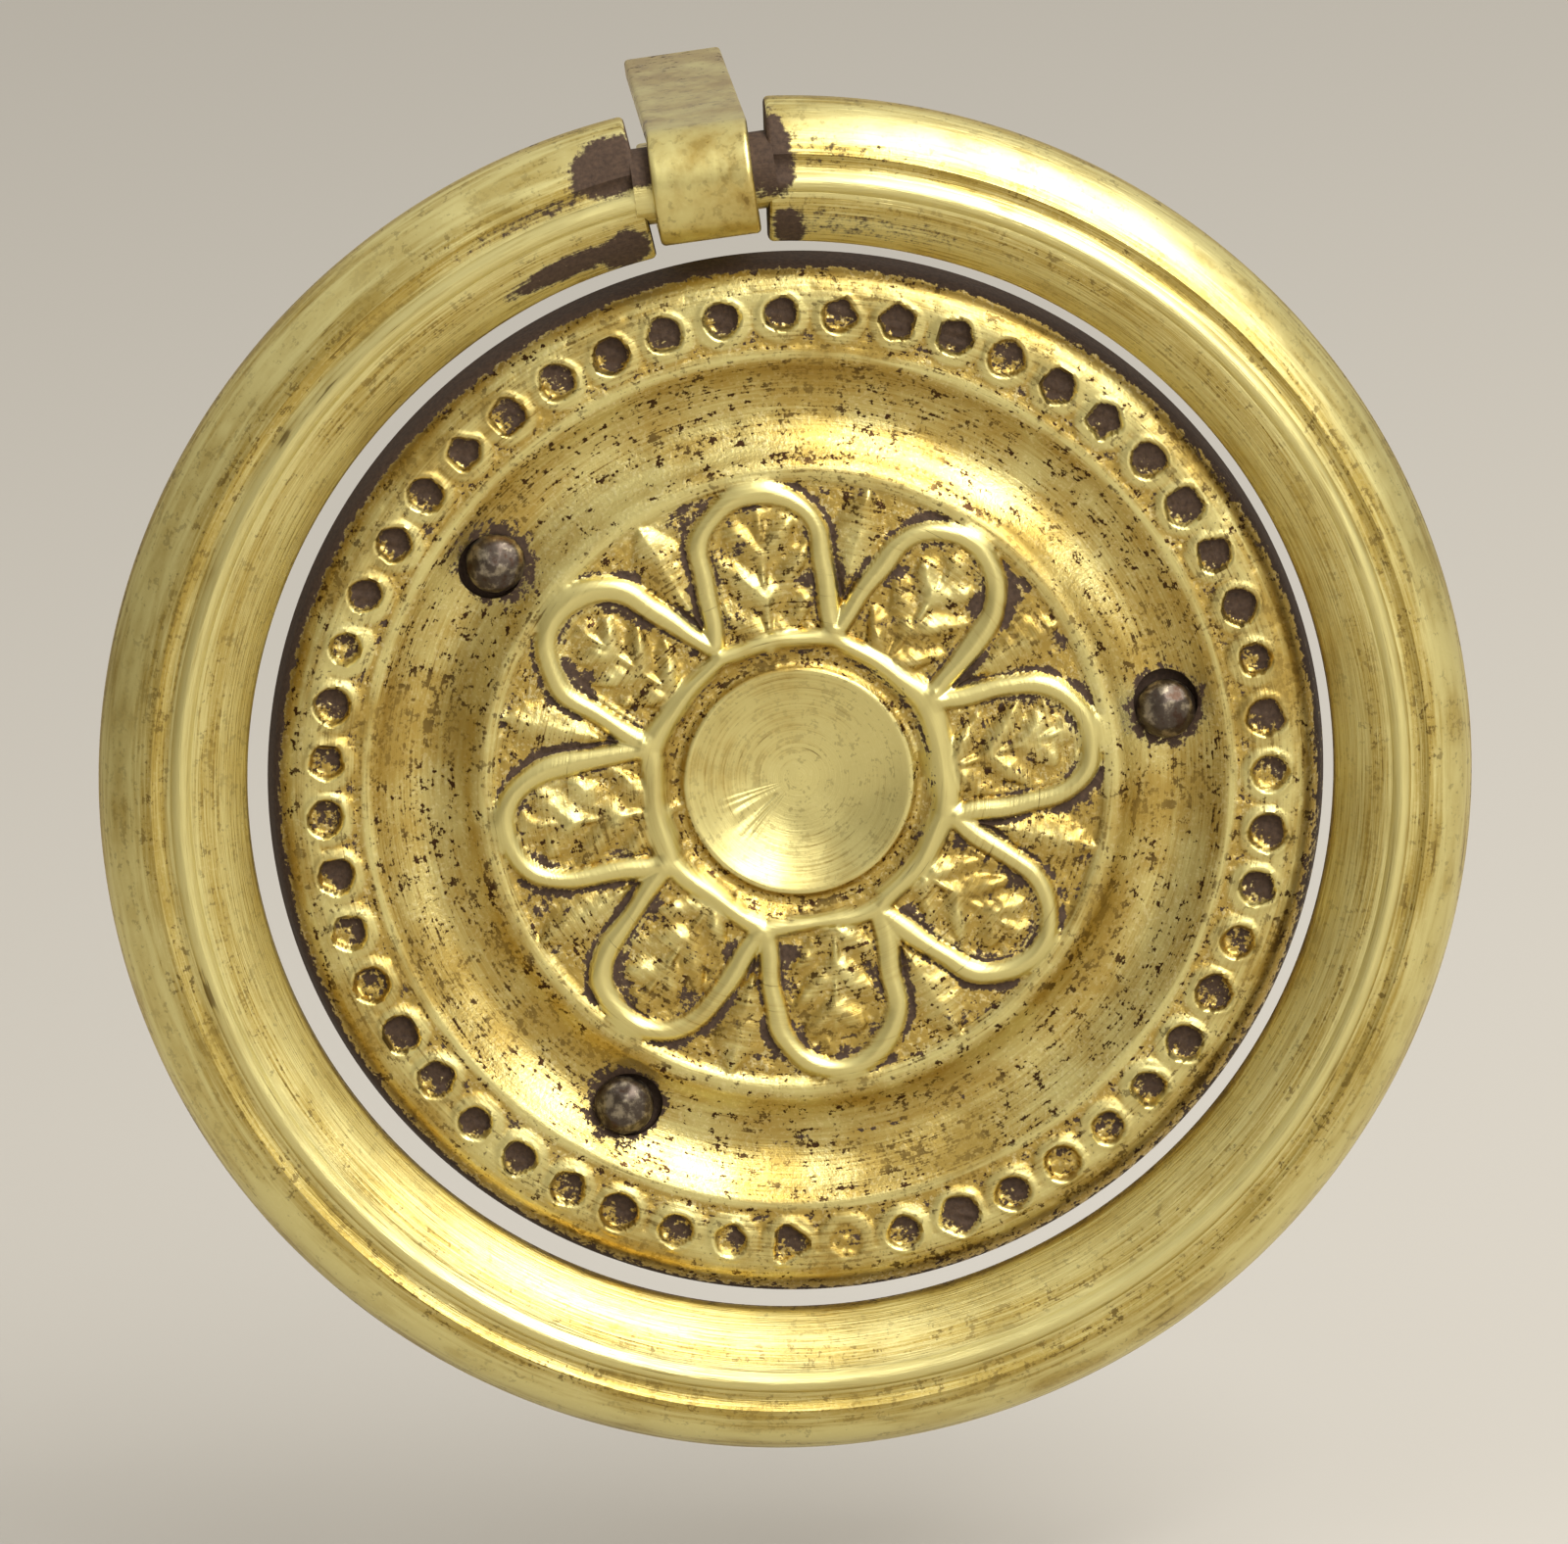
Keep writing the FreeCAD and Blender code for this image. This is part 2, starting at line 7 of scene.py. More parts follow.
import logging
import math
from dataclasses import dataclass, field
from enum import Enum
from typing import Any, Callable

import bmesh
import bpy
import numpy as np
from mathutils import Matrix, Vector


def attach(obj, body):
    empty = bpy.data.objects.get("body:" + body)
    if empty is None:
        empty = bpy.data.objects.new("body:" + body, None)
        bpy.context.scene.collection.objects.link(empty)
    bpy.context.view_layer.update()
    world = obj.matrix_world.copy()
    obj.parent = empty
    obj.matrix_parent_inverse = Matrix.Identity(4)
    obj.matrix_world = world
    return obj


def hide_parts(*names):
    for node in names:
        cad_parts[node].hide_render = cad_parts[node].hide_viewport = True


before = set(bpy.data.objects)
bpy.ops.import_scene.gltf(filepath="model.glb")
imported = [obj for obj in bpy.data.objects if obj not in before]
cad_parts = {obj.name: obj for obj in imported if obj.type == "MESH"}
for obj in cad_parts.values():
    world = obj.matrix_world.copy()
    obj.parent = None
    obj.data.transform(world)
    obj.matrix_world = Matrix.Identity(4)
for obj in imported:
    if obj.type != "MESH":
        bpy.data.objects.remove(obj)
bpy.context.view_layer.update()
LOG = logging.getLogger("ring_pull")
MM = 0.001
Array = np.ndarray
Spot = tuple[float, float]


class Body(Enum):
    """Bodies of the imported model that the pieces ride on."""

    FIXED = "fixed_plate"
    RING = "ring"


def linear(hex_colour: str) -> tuple[float, float, float, float]:
    """Turn an sRGB hex colour to linear values.

    Args:
        hex_colour: six hex digits after a hash sign.

    Returns:
        Linear red, green, blue and an alpha of one.
    """
    shares = [int(hex_colour[i:i + 2], 16) / 255 for i in (1, 3, 5)]
    red, green, blue = (s / 12.92 if s <= 0.04045 else ((s + 0.055) / 1.055) ** 2.4 for s in shares)
    return red, green, blue, 1.0


def ease(share: Array) -> Array:
    """Turn a share into a smooth step from nought to one."""
    share = np.clip(share, 0, 1)
    return share * share * (3 - 2 * share)


def ripple(across: Array, up: Array, pitch: float, seed: int) -> Array:
    """Uneven waves of a metal face, with a spread of about one.

    Args:
        across: place of each point to the right, in millimetres.
        up: place of each point upwards.
        pitch: usual length of a wave in millimetres.
        seed: number that fixes the waves.

    Returns:
        Height of the waves at each point.
    """
    chance = np.random.default_rng(seed)
    total = np.zeros_like(across)
    for _ in range(22):
        turn, start, share = chance.uniform(0, 2 * math.pi, 3)
        rate = 2 * math.pi / (pitch * (0.6 + 0.18 * share))
        total += np.sin(rate * (across * math.cos(turn) + up * math.sin(turn)) + start)
    return total / math.sqrt(11)


class Section:
    """A turned section, as radius and height points that grow stretch by stretch."""

    def __init__(self, radius: float, height: float) -> None:
        """Start the section at a point."""
        self.points: list[Spot] = [(radius, height)]

    def to(self, radius: float, height: float, steps: int = 1, rise: float = 0.0) -> "Section":
        """Carry the section on to a point.

        Args:
            radius: distance of the point from the axis.
            height: height of the point in front of the wood.
            steps: number of rows of faces.
            rise: how far the middle swells square to the stretch, inwards if negative.

        Returns:
            The section itself.
        """
        start_radius, start_height = self.points[-1]
        run, climb = radius - start_radius, height - start_height
        reach = math.hypot(run, climb)
        for step in range(1, steps + 1):
            share = step / steps
            swell = 4 * share * (1 - share) * rise / reach
            outwards = start_radius + share * run + swell * climb
            forwards = start_height + share * climb - swell * run
            self.points.append((outwards, forwards))
        return self


def spun(points: list[Spot], steps: int, start: float = 0.0, sweep: float = 360.0) -> bmesh.types.BMesh:
    """Spin a section about the handle's depth axis.

    Args:
        points: radius and height of the section's points.
        steps: number of faces round.
        start: turn at which the spin starts, in degrees.
        sweep: how far it goes, in degrees.

    Returns:
        A mesh with its doubles merged and its normals outwards.
    """
    mesh = bmesh.new()
    spots = [mesh.verts.new((0, -height, radius)) for radius, height in points]
    lines = [mesh.edges.new(pair) for pair in zip(spots, spots[1:])]
    turn = Matrix.Rotation(math.radians(start), 3, "Y")
    bmesh.ops.rotate(mesh, verts=spots, cent=(0, 0, 0), matrix=turn)
    bmesh.ops.spin(
        mesh, geom=spots + lines, cent=(0, 0, 0), axis=(0, 1, 0), angle=math.radians(sweep),
        steps=steps, use_merge=sweep == 360, use_duplicate=False,
    )
    bmesh.ops.remove_doubles(mesh, verts=mesh.verts, dist=1e-5)
    bmesh.ops.recalc_face_normals(mesh, faces=mesh.faces)
    return mesh


def points_of(mesh: bpy.types.Mesh) -> Array:
    """Read a mesh's points as rows of three."""
    flat = np.empty(len(mesh.vertices) * 3, np.float64)
    mesh.vertices.foreach_get("co", flat)
    return flat.reshape(-1, 3)


def put_points(mesh: bpy.types.Mesh, points: Array) -> None:
    """Write rows of three back into a mesh."""
    mesh.vertices.foreach_set("co", points.astype(np.float32).ravel())
    mesh.update()


def paint(mesh: bpy.types.Mesh, name: str, values: Array) -> None:
    """Keep a value for each point of the mesh, for its material to read.

    Args:
        mesh: the mesh that carries the values.
        name: the attribute's name.
        values: one number, or one row of three, for each point.
    """
    kind, key = ("FLOAT", "value") if values.ndim == 1 else ("FLOAT_VECTOR", "vector")
    layer = mesh.attributes.new(name, kind, "POINT")
    layer.data.foreach_set(key, values.astype(np.float32).ravel())


def link_piece(
    name: str, mesh: bpy.types.Mesh, material: bpy.types.Material, crease: float = 40.0,
) -> bpy.types.Object:
    """Turn a mesh in millimetres into a finished piece in the frame.

    Args:
        name: the piece's name.
        mesh: its mesh, in place, in millimetres.
        material: its finish.
        crease: angle in degrees above which an edge stays sharp.

    Returns:
        The piece, at the origin.
    """
    mesh.transform(Matrix.Scale(MM, 4))
    mesh.name = name
    mesh.shade_smooth()
    mesh.set_sharp_from_angle(angle=math.radians(crease))
    mesh.materials.append(material)
    piece = bpy.data.objects.new(name, mesh)
    bpy.context.scene.collection.objects.link(piece)
    return piece


def add(
    tree: bpy.types.NodeTree, kind: str, sockets: dict[Any, Any] | None = None, **settings: Any,
) -> bpy.types.Node:
    """Add one node with its settings and links.

    Args:
        tree: the tree it goes into.
        kind: Blender's name for the node.
        sockets: a value or an output for each input, by name or number.
        settings: the node's own settings.

    Returns:
        The node.
    """
    made = tree.nodes.new(kind)
    for name, value in settings.items():
        setattr(made, name, value)
    for key, value in (sockets or {}).items():
        if isinstance(value, bpy.types.NodeSocket):
            tree.links.new(value, made.inputs[key])
        else:
            made.inputs[key].default_value = value
    return made


@dataclass(frozen=True)
class WornBrass:
    """Old brass: burnished pale where hands and cloths reach it, grained gold and brown where they don't.

    The piece's points carry how burnished they are (polish), how much brown oxide and painted shade they hold
    (crust_and_shade) and the way that its scratches run (lay).
    """

    name: str
    burnished: str = "#D9CC88"
    gold: str = "#B69A50"
    pale_speck: str = "#FFF6C4"
    brown_speck: str = "#45301E"
    crust_and_shade_dark: str = "#2A201B"
    crust_and_shade_light: str = "#5E4A3A"
    smooth_roughness: float = 0.25
    grain_roughness: float = 0.34
    grain_size: float = 0.22
    grain_depth: float = 0.04
    scratch_depth: float = 0.012
    speckle: float = 1.0
    streak: float = 0.6
    streak_spread: float = 0.24
    mottle: float = 1.1
    scars: float = 0.5
    crust_and_shade_edge: float = 0.2
    smudge: float = 0.08
    raggedness: float = 1.4
    blotch_size: float = 0.6
    cloud_size: float = 5.0

    def build(self) -> bpy.types.Material:
        """Make the material.

        Returns:
            A metal whose colour, gloss and bump follow the piece's own attributes.
        """
        material = bpy.data.materials.new(self.name)
        material.use_nodes = True
        tree = material.node_tree
        shader = tree.nodes["Principled BSDF"]
        place = add(tree, "ShaderNodeTexCoord").outputs["Object"]
        polish = add(tree, "ShaderNodeAttribute", attribute_name="polish").outputs["Fac"]
        crust_and_shade = add(tree, "ShaderNodeAttribute", attribute_name="crust_and_shade").outputs["Fac"]
        lay = add(tree, "ShaderNodeAttribute", attribute_name="lay").outputs["Vector"]
        grain = add(tree, "ShaderNodeTexNoise", {
            "Vector": place, "Scale": 1 / (self.grain_size * MM), "Detail": 2.0, "Roughness": 0.6,
        }).outputs["Fac"]
        blotch = add(tree, "ShaderNodeTexNoise", {
            "Vector": place, "Scale": 1 / (self.blotch_size * MM), "Detail": 4.0, "Roughness": 0.65,
        }).outputs["Fac"]
        cloud = add(tree, "ShaderNodeTexNoise", {
            "Vector": place, "Scale": 1 / (self.cloud_size * MM), "Detail": 3.0, "Roughness": 0.55,
        }).outputs["Fac"]
        scratch = add(tree, "ShaderNodeTexNoise", {
            "Vector": lay, "Scale": 1.0, "Detail": 3.0, "Roughness": 0.62,
        }).outputs["Fac"]
        brushed = add(tree, "ShaderNodeTexNoise", {
            "Vector": lay, "Scale": 2.6, "Detail": 2.0, "Roughness": 0.6,
        }).outputs["Fac"]
        rough_share = add(tree, "ShaderNodeMath", {0: 1.0, 1: polish}, operation="SUBTRACT").outputs[0]
        worn_patch = add(tree, "ShaderNodeMapRange", {
            "Value": cloud, "From Min": 0.36, "From Max": 0.56,
            "To Min": 0.3 * self.speckle, "To Max": self.speckle,
        }).outputs[0]
        rough_share = add(tree, "ShaderNodeMath", {
            0: rough_share, 1: worn_patch,
        }, operation="MULTIPLY").outputs[0]
        tone = add(tree, "ShaderNodeMath", {0: polish, 1: 0.55}, operation="MULTIPLY").outputs[0]
        tone = add(tree, "ShaderNodeMath", {
            0: cloud, 1: self.mottle, 2: tone,
        }, operation="MULTIPLY_ADD").outputs[0]
        tone = add(tree, "ShaderNodeMath", {
            0: scratch, 1: self.streak, 2: tone,
        }, operation="MULTIPLY_ADD").outputs[0]
        middle = 0.28 + 0.5 * (self.streak + self.mottle)
        tone = add(tree, "ShaderNodeMapRange", {
            "Value": tone, "From Min": middle - self.streak_spread, "From Max": middle + self.streak_spread,
        }, interpolation_type="SMOOTHSTEP").outputs[0]
        colour = add(tree, "ShaderNodeMix", {
            0: tone, 6: linear(self.gold), 7: linear(self.burnished),
        }, data_type="RGBA").outputs[2]
        bright = add(tree, "ShaderNodeMapRange", {
            "Value": grain, "From Min": 0.54, "From Max": 0.66, "To Max": 0.35,
        }, interpolation_type="SMOOTHSTEP").outputs[0]
        bright = add(tree, "ShaderNodeMath", {0: bright, 1: rough_share}, operation="MULTIPLY").outputs[0]
        colour = add(tree, "ShaderNodeMix", {
            0: bright, 6: colour, 7: linear(self.pale_speck),
        }, data_type="RGBA").outputs[2]
        patchy = add(tree, "ShaderNodeMath", {
            0: grain, 1: 0.6, 2: blotch,
        }, operation="MULTIPLY_ADD").outputs[0]
        clump = add(tree, "ShaderNodeMath", {
            0: cloud, 1: 0.4, 2: patchy,
        }, operation="MULTIPLY_ADD").outputs[0]
        clump = add(tree, "ShaderNodeMath", {
            0: scratch, 1: 0.5, 2: clump,
        }, operation="MULTIPLY_ADD").outputs[0]
        brown = add(tree, "ShaderNodeMapRange", {
            "Value": clump, "From Min": 1.18, "From Max": 1.1, "To Max": 1.9,
        }, interpolation_type="SMOOTHSTEP").outputs[0]
        brown = add(tree, "ShaderNodeMath", {
            0: brown, 1: rough_share,
        }, operation="MULTIPLY", use_clamp=True).outputs[0]
        scar = add(tree, "ShaderNodeMapRange", {
            "Value": scratch, "From Min": 0.34, "From Max": 0.28, "To Max": self.scars,
        }, interpolation_type="SMOOTHSTEP").outputs[0]
        brown = add(tree, "ShaderNodeMath", {0: brown, 1: scar}, operation="MAXIMUM").outputs[0]
        colour = add(tree, "ShaderNodeMix", {
            0: brown, 6: colour, 7: linear(self.brown_speck),
        }, data_type="RGBA").outputs[2]
        edge = add(tree, "ShaderNodeMath", {0: patchy, 1: -0.8}, operation="ADD").outputs[0]
        edge = add(tree, "ShaderNodeMath", {
            0: edge, 1: -self.raggedness, 2: crust_and_shade,
        }, operation="MULTIPLY_ADD").outputs[0]
        edge = add(tree, "ShaderNodeMath", {
            0: scratch, 1: -0.6, 2: edge,
        }, operation="MULTIPLY_ADD").outputs[0]
        # This mask paints both the real brown oxide and the painted shade that the crust attribute carries, in
        # the same dark colours.
        oxide_and_shade = add(tree, "ShaderNodeMapRange", {
            "Value": edge, "From Min": self.crust_and_shade_edge - self.smudge, "From Max": self.crust_and_shade_edge + self.smudge,
        }, interpolation_type="SMOOTHSTEP").outputs[0]
        crust_and_shade_colour = add(tree, "ShaderNodeMix", {
            0: grain, 6: linear(self.crust_and_shade_dark), 7: linear(self.crust_and_shade_light),
        }, data_type="RGBA").outputs[2]
        colour = add(tree, "ShaderNodeMix", {0: oxide_and_shade, 6: colour, 7: crust_and_shade_colour}, data_type="RGBA").outputs[2]
        gloss = add(tree, "ShaderNodeMix", {
            0: rough_share, 2: self.smooth_roughness, 3: self.grain_roughness,
        }, data_type="FLOAT").outputs[0]
        gloss = add(tree, "ShaderNodeMath", {
            0: scratch, 1: 0.16, 2: gloss,
        }, operation="MULTIPLY_ADD").outputs[0]
        gloss = add(tree, "ShaderNodeMix", {0: oxide_and_shade, 2: gloss, 3: 0.72}, data_type="FLOAT").outputs[0]
        metal = add(tree, "ShaderNodeMapRange", {
            "Value": oxide_and_shade, "From Min": 0.0, "From Max": 1.0, "To Min": 1.0, "To Max": 0.1,
        }).outputs[0]
        pitted = add(tree, "ShaderNodeMath", {0: grain, 1: rough_share}, operation="MULTIPLY").outputs[0]
        bump = add(tree, "ShaderNodeBump", {
            "Height": pitted, "Strength": 1.0, "Distance": self.grain_depth * MM,
        }).outputs[0]
        bump = add(tree, "ShaderNodeBump", {
            "Height": scratch, "Strength": 1.0, "Distance": self.scratch_depth * MM, "Normal": bump,
        }).outputs[0]
        bump = add(tree, "ShaderNodeBump", {
            "Height": brushed, "Strength": 1.0, "Distance": 0.5 * self.scratch_depth * MM, "Normal": bump,
        }).outputs[0]
        looks = {"Base Color": colour, "Roughness": gloss, "Metallic": metal, "Normal": bump}
        for socket, value in looks.items():
            tree.links.new(value, shader.inputs[socket])
        shader.inputs["Specular IOR Level"].default_value = 0.2
        return material


@dataclass(frozen=True)
class HammeredIron:
    """Wrought iron pin, hammered and rubbed: dark grey-brown scale with paler rubbed blotches and spots of
    rust.
    """

    name: str = "hammered_wrought_iron"
    scale: str = "#51473E"
    rubbed_and_lit: str = "#948873"
    rust: str = "#46352A"

    def build(self) -> bpy.types.Material:
        """Make the material.

        Returns:
            A dark metal with blotches of scale.
        """
        material = bpy.data.materials.new(self.name)
        material.use_nodes = True
        tree = material.node_tree
        shader = tree.nodes["Principled BSDF"]
        place = add(tree, "ShaderNodeTexCoord").outputs["Object"]
        blotch = add(tree, "ShaderNodeTexNoise", {
            "Vector": place, "Scale": 1 / (0.7 * MM), "Detail": 4.0, "Roughness": 0.6,
        }).outputs["Fac"]
        rub = add(tree, "ShaderNodeMapRange", {
            "Value": blotch, "From Min": 0.48, "From Max": 0.66,
        }, interpolation_type="SMOOTHSTEP").outputs[0]
        rust = add(tree, "ShaderNodeMapRange", {
            "Value": blotch, "From Min": 0.46, "From Max": 0.34,
        }, interpolation_type="SMOOTHSTEP").outputs[0]
        colour = add(tree, "ShaderNodeMix", {
            0: rub, 6: linear(self.scale), 7: linear(self.rubbed_and_lit),
        }, data_type="RGBA").outputs[2]
        colour = add(tree, "ShaderNodeMix", {
            0: rust, 6: colour, 7: linear(self.rust),
        }, data_type="RGBA").outputs[2]
        bump = add(tree, "ShaderNodeBump", {
            "Height": blotch, "Strength": 1.0, "Distance": 0.03 * MM,
        }).outputs[0]
        tree.links.new(colour, shader.inputs["Base Color"])
        tree.links.new(bump, shader.inputs["Normal"])
        shader.inputs["Metallic"].default_value = 0.9
        shader.inputs["Roughness"].default_value = 0.36
        return material


@dataclass
class DotBand:
    """The row of punched dots: a boss round each pit, a sharp lip on the pit, a granular land inwards."""

    count: int = 51
    radius: float = 24.15
    pit_radius: float = 0.96
    pit_depth: float = 0.46
    pit_wall: float = 0.24
    lip_height: float = 0.1
    lip_width: float = 0.12
    boss_radius: float = 1.55
    boss_rise: float = 0.13
    worn: int = 26
    chipped: int = 27
    seed: int = 12

    def relief(self, radius: Array, turn: Array) -> tuple[Array, Array, Array]:
        """Work out the dots' relief.

        Args:
            radius: distance of each point from the plate's middle.
            turn: its turn round the plate, in radians.

        Returns:
            Rise, burnish and crust of each point; the pits' crust also carries painted light and painted shade.
        """
        chance = np.random.default_rng(self.seed)
        step = 2 * math.pi / self.count
        number = np.round(turn / step).astype(int) % self.count
        shift_along, shift_out = chance.normal(0, 0.05, (2, self.count))
        size = chance.normal(self.pit_radius, 0.05, self.count)
        depth = chance.normal(self.pit_depth, 0.06, self.count)
        waves = chance.normal(0, 0.024, (4, self.count))
        phases = chance.uniform(0, 2 * math.pi, (4, self.count))
        depth[self.worn], size[self.chipped] = 0.1, 0.95
        waves[1, self.chipped] = 0.16
        local = (turn - number * step + math.pi) % (2 * math.pi) - math.pi
        along = radius * local - shift_along[number]
        out = radius - self.radius - shift_out[number]
        away = np.hypot(along, out)
        round_it = np.arctan2(out, along)
        edge = size[number]
        for wave, (amount, phase) in enumerate(zip(waves, phases), start=2):
            edge = edge * (1 + amount[number] * np.cos(wave * round_it + phase[number]))
        boss = np.maximum(ease((self.boss_radius + 0.15 - away) / 0.4), ease((out - 0.1) / 0.5))
        inside = ease((edge - away) / self.pit_wall)
        lip = np.exp(-(((away - edge - 0.1) / self.lip_width) ** 2)) * np.where(number == self.worn, 0.2, 1.0)
        in_band = ease((self.radius + 2.15 - radius) / 1.5) * ease((radius - self.radius + 2.1) / 0.3)
        middle = np.abs(np.abs(local) - step / 2) * radius
        dimple = np.exp(-((middle / 0.26) ** 2) - ((radius - self.radius - 1.45) / 0.22) ** 2)
        rise = self.boss_rise * boss + self.lip_height * lip - depth[number] * inside - 0.09 * dimple
        rough = ripple(radius * np.sin(turn), radius * np.cos(turn), 0.5, 5)
        rise = rise + 0.035 * rough * (inside + 0.5 * (1 - boss))
        # Painted light: each pit's lower-left side, where the light falls, is given less crust and so is
        # painted paler gold, while its upper-right side keeps the dark crust as painted shade. The pit's crust
        # itself is real dirt.
        right = out * np.sin(turn) + along * np.cos(turn)
        above = out * np.cos(turn) - along * np.sin(turn)
        rubbed_and_lit = np.clip(-(right + above) / (1.4 * edge), -0.3, 1)
        pit_crust_and_shade = (0.92 - 0.5 * rubbed_and_lit) * chance.normal(0.9, 0.14, self.count)[number]
        # Painted shade: pits towards the plate's upper right are given more crust, so they are painted darker.
        pit_crust_and_shade = pit_crust_and_shade * (0.9 + 0.12 * np.cos(turn - 0.6))
        crust_and_shade = pit_crust_and_shade * inside + 0.4 * (1 - boss) * ease((1.75 - np.abs(out)) / 0.4)
        crust_and_shade = crust_and_shade * np.where(number == self.worn, 0.55, 1.0)
        polish = np.clip(boss - inside, 0, 1)
        return rise * in_band, polish * in_band, crust_and_shade * in_band


@dataclass
class Flower:
    """Eight petals in rounded outlines, a lobed leaf in each, a dart between two, and a cusped collar."""

    petals: int = 8
    top_radius: float = 15.72
    half_width: float = 3.05
    ridge_half: float = 0.6
    ridge_height: float = 0.44
    leaf_height: float = 0.34
    dart_height: float = 0.3
    collar_cusp: float = 8.25
    collar_rise: float = 0.25
    collar_height: float = 0.46
    seed: int = 4

    def ridge(self, away: Array, half: float | Array, height: float) -> Array:
        """Cross-section of a rounded ridge at a distance from its middle line."""
        return height * np.clip(1 - (away / half) ** 2, 0, 1) ** 0.8

    def leaf(self, across: Array, up: Array) -> Array:
        """Height of a worn leaf with a middle rib and lobes that slant up from it.

        Args:
            across: place across the petal.
            up: place along the petal, from the plate's middle.

        Returns:
            Share of the leaf's full height at each point.
        """
        side = np.abs(across)
        lobe = np.cos(2 * math.pi * (up - 0.85 * side - 13.9) / 2.1)
        wide = 1.95 * (1 + 0.2 * lobe) * (1 - 0.3 * ease((up - 12.0) / 2.5))
        body = np.clip(1 - (side / wide) ** 2 - (np.abs(up - 10.4) / 4.0) ** 3, 0, 1) ** 0.5
        rib = np.exp(-((side / 0.3) ** 2))
        return body * np.maximum(0.68 + 0.32 * lobe, 0.9 * rib)

    def relief(self, radius: Array, turn: Array) -> tuple[Array, Array, Array]:
        """Work out the flower's relief.

        Args:
            radius: distance of each point from the plate's middle.
            turn: its turn round the plate, in radians.

        Returns:
            Rise, burnish and crust of each point; the crust in the groove inside the collar also carries
            painted shade.
        """
        chance = np.random.default_rng(self.seed)
        step = 2 * math.pi / self.petals
        number = np.round(turn / step).astype(int) % self.petals
        local = (turn - number * step + math.pi) % (2 * math.pi) - math.pi
        across, up = radius * np.sin(local), radius * np.cos(local)
        centre = self.top_radius - self.half_width - self.ridge_half
        beside = np.abs(across) - self.half_width
        away = np.where(up > centre, np.hypot(across, up - centre) - self.half_width, beside)
        wander = ripple(radius * np.sin(turn), radius * np.cos(turn), 4.5, 29)
        away = away + 0.07 * wander
        ridge = self.ridge(away, self.ridge_half, self.ridge_height) * ease((radius - 7.7) / 0.5)
        ledge = 0.06 * np.exp(-(((away + 0.78) / 0.13) ** 2)) * ease((radius - 8.2) / 0.5)
        cusp = self.collar_cusp * math.sin(step / 2)
        line = self.collar_cusp * math.cos(step / 2) + self.collar_rise * (1 - (across / cusp) ** 2)
        line = line + 0.09 * wander
        collar = self.ridge(up - line + 0.5, 0.48 + 0.32 * np.sin(turn) ** 2, self.collar_height)
        raised = np.maximum(ridge, collar) + ledge
        joint = np.clip(ridge, 0, 0.3) * np.clip(collar, 0, 0.3)
        raised = raised + 0.9 * joint
        tilt, grow = chance.normal(0, 0.09, self.petals), chance.normal(1, 0.06, self.petals)
        slide = chance.normal(0, 0.1, self.petals)
        leaf_across = (across * np.cos(tilt[number]) + (up - 11.5) * np.sin(tilt[number])) * grow[number]
        leaf = self.leaf(leaf_across, (up - 11.4 + slide[number]) * grow[number] + 11.4)
        leaf = leaf * ease((-away - 0.5) / 0.5)
        leaf = leaf * (1 + 0.16 * ripple(radius * np.sin(turn), radius * np.cos(turn), 2.1, 17))
        dart_turn = np.abs(local) - step / 2
        dart_across, dart_up = radius * np.sin(dart_turn), radius * np.cos(dart_turn)
        share = np.clip((dart_up - 10.1) / 5.4, 0, 1)
        width = 0.05 + 1.25 * np.sin(math.pi * share ** 1.3) ** 0.8
        dart = np.clip(1 - np.abs(dart_across) / width, 0, 1) ** 0.7 * ease((away - 0.3) / 0.3)
        on_field = ease((15.85 - radius) / 0.5)
        rough = ripple(radius * np.sin(turn), radius * np.cos(turn), 0.8, 9)
        low = 1 - np.clip(raised / 0.2, 0, 1)
        rise = raised + low * on_field * (self.leaf_height * leaf + self.dart_height * dart + 0.018 * rough)
        rise = rise - 0.08 * low * on_field * (1 - leaf) * (1 - dart)
        foot = np.exp(-(((np.abs(away) - 0.7) / 0.3) ** 2)) * low
        patchy = ripple(radius * np.sin(turn), radius * np.cos(turn), 2.6, 14)
        dark = 0.56 * foot + 0.24 * (1 - np.clip(1.6 * np.maximum(leaf, dart), 0, 1)) + 0.17 * patchy
        crust_and_shade = on_field * low * ease((radius - 8.2) / 0.4) * dark
        # Dirt in the groove inside the collar, with painted shade: the cosine makes the groove darker on its
        # upper-right side, where it faces away from the light.
        crust_and_shade = crust_and_shade + 0.55 * np.exp(-(((radius - 6.75) / 0.35) ** 2)) * (0.6 + 0.4 * np.cos(turn - 0.6))
        polish = np.clip(raised / 0.22, 0, 1) + on_field * (0.6 * leaf + 0.5 * dart)
        return rise, np.clip(polish, 0, 1), crust_and_shade


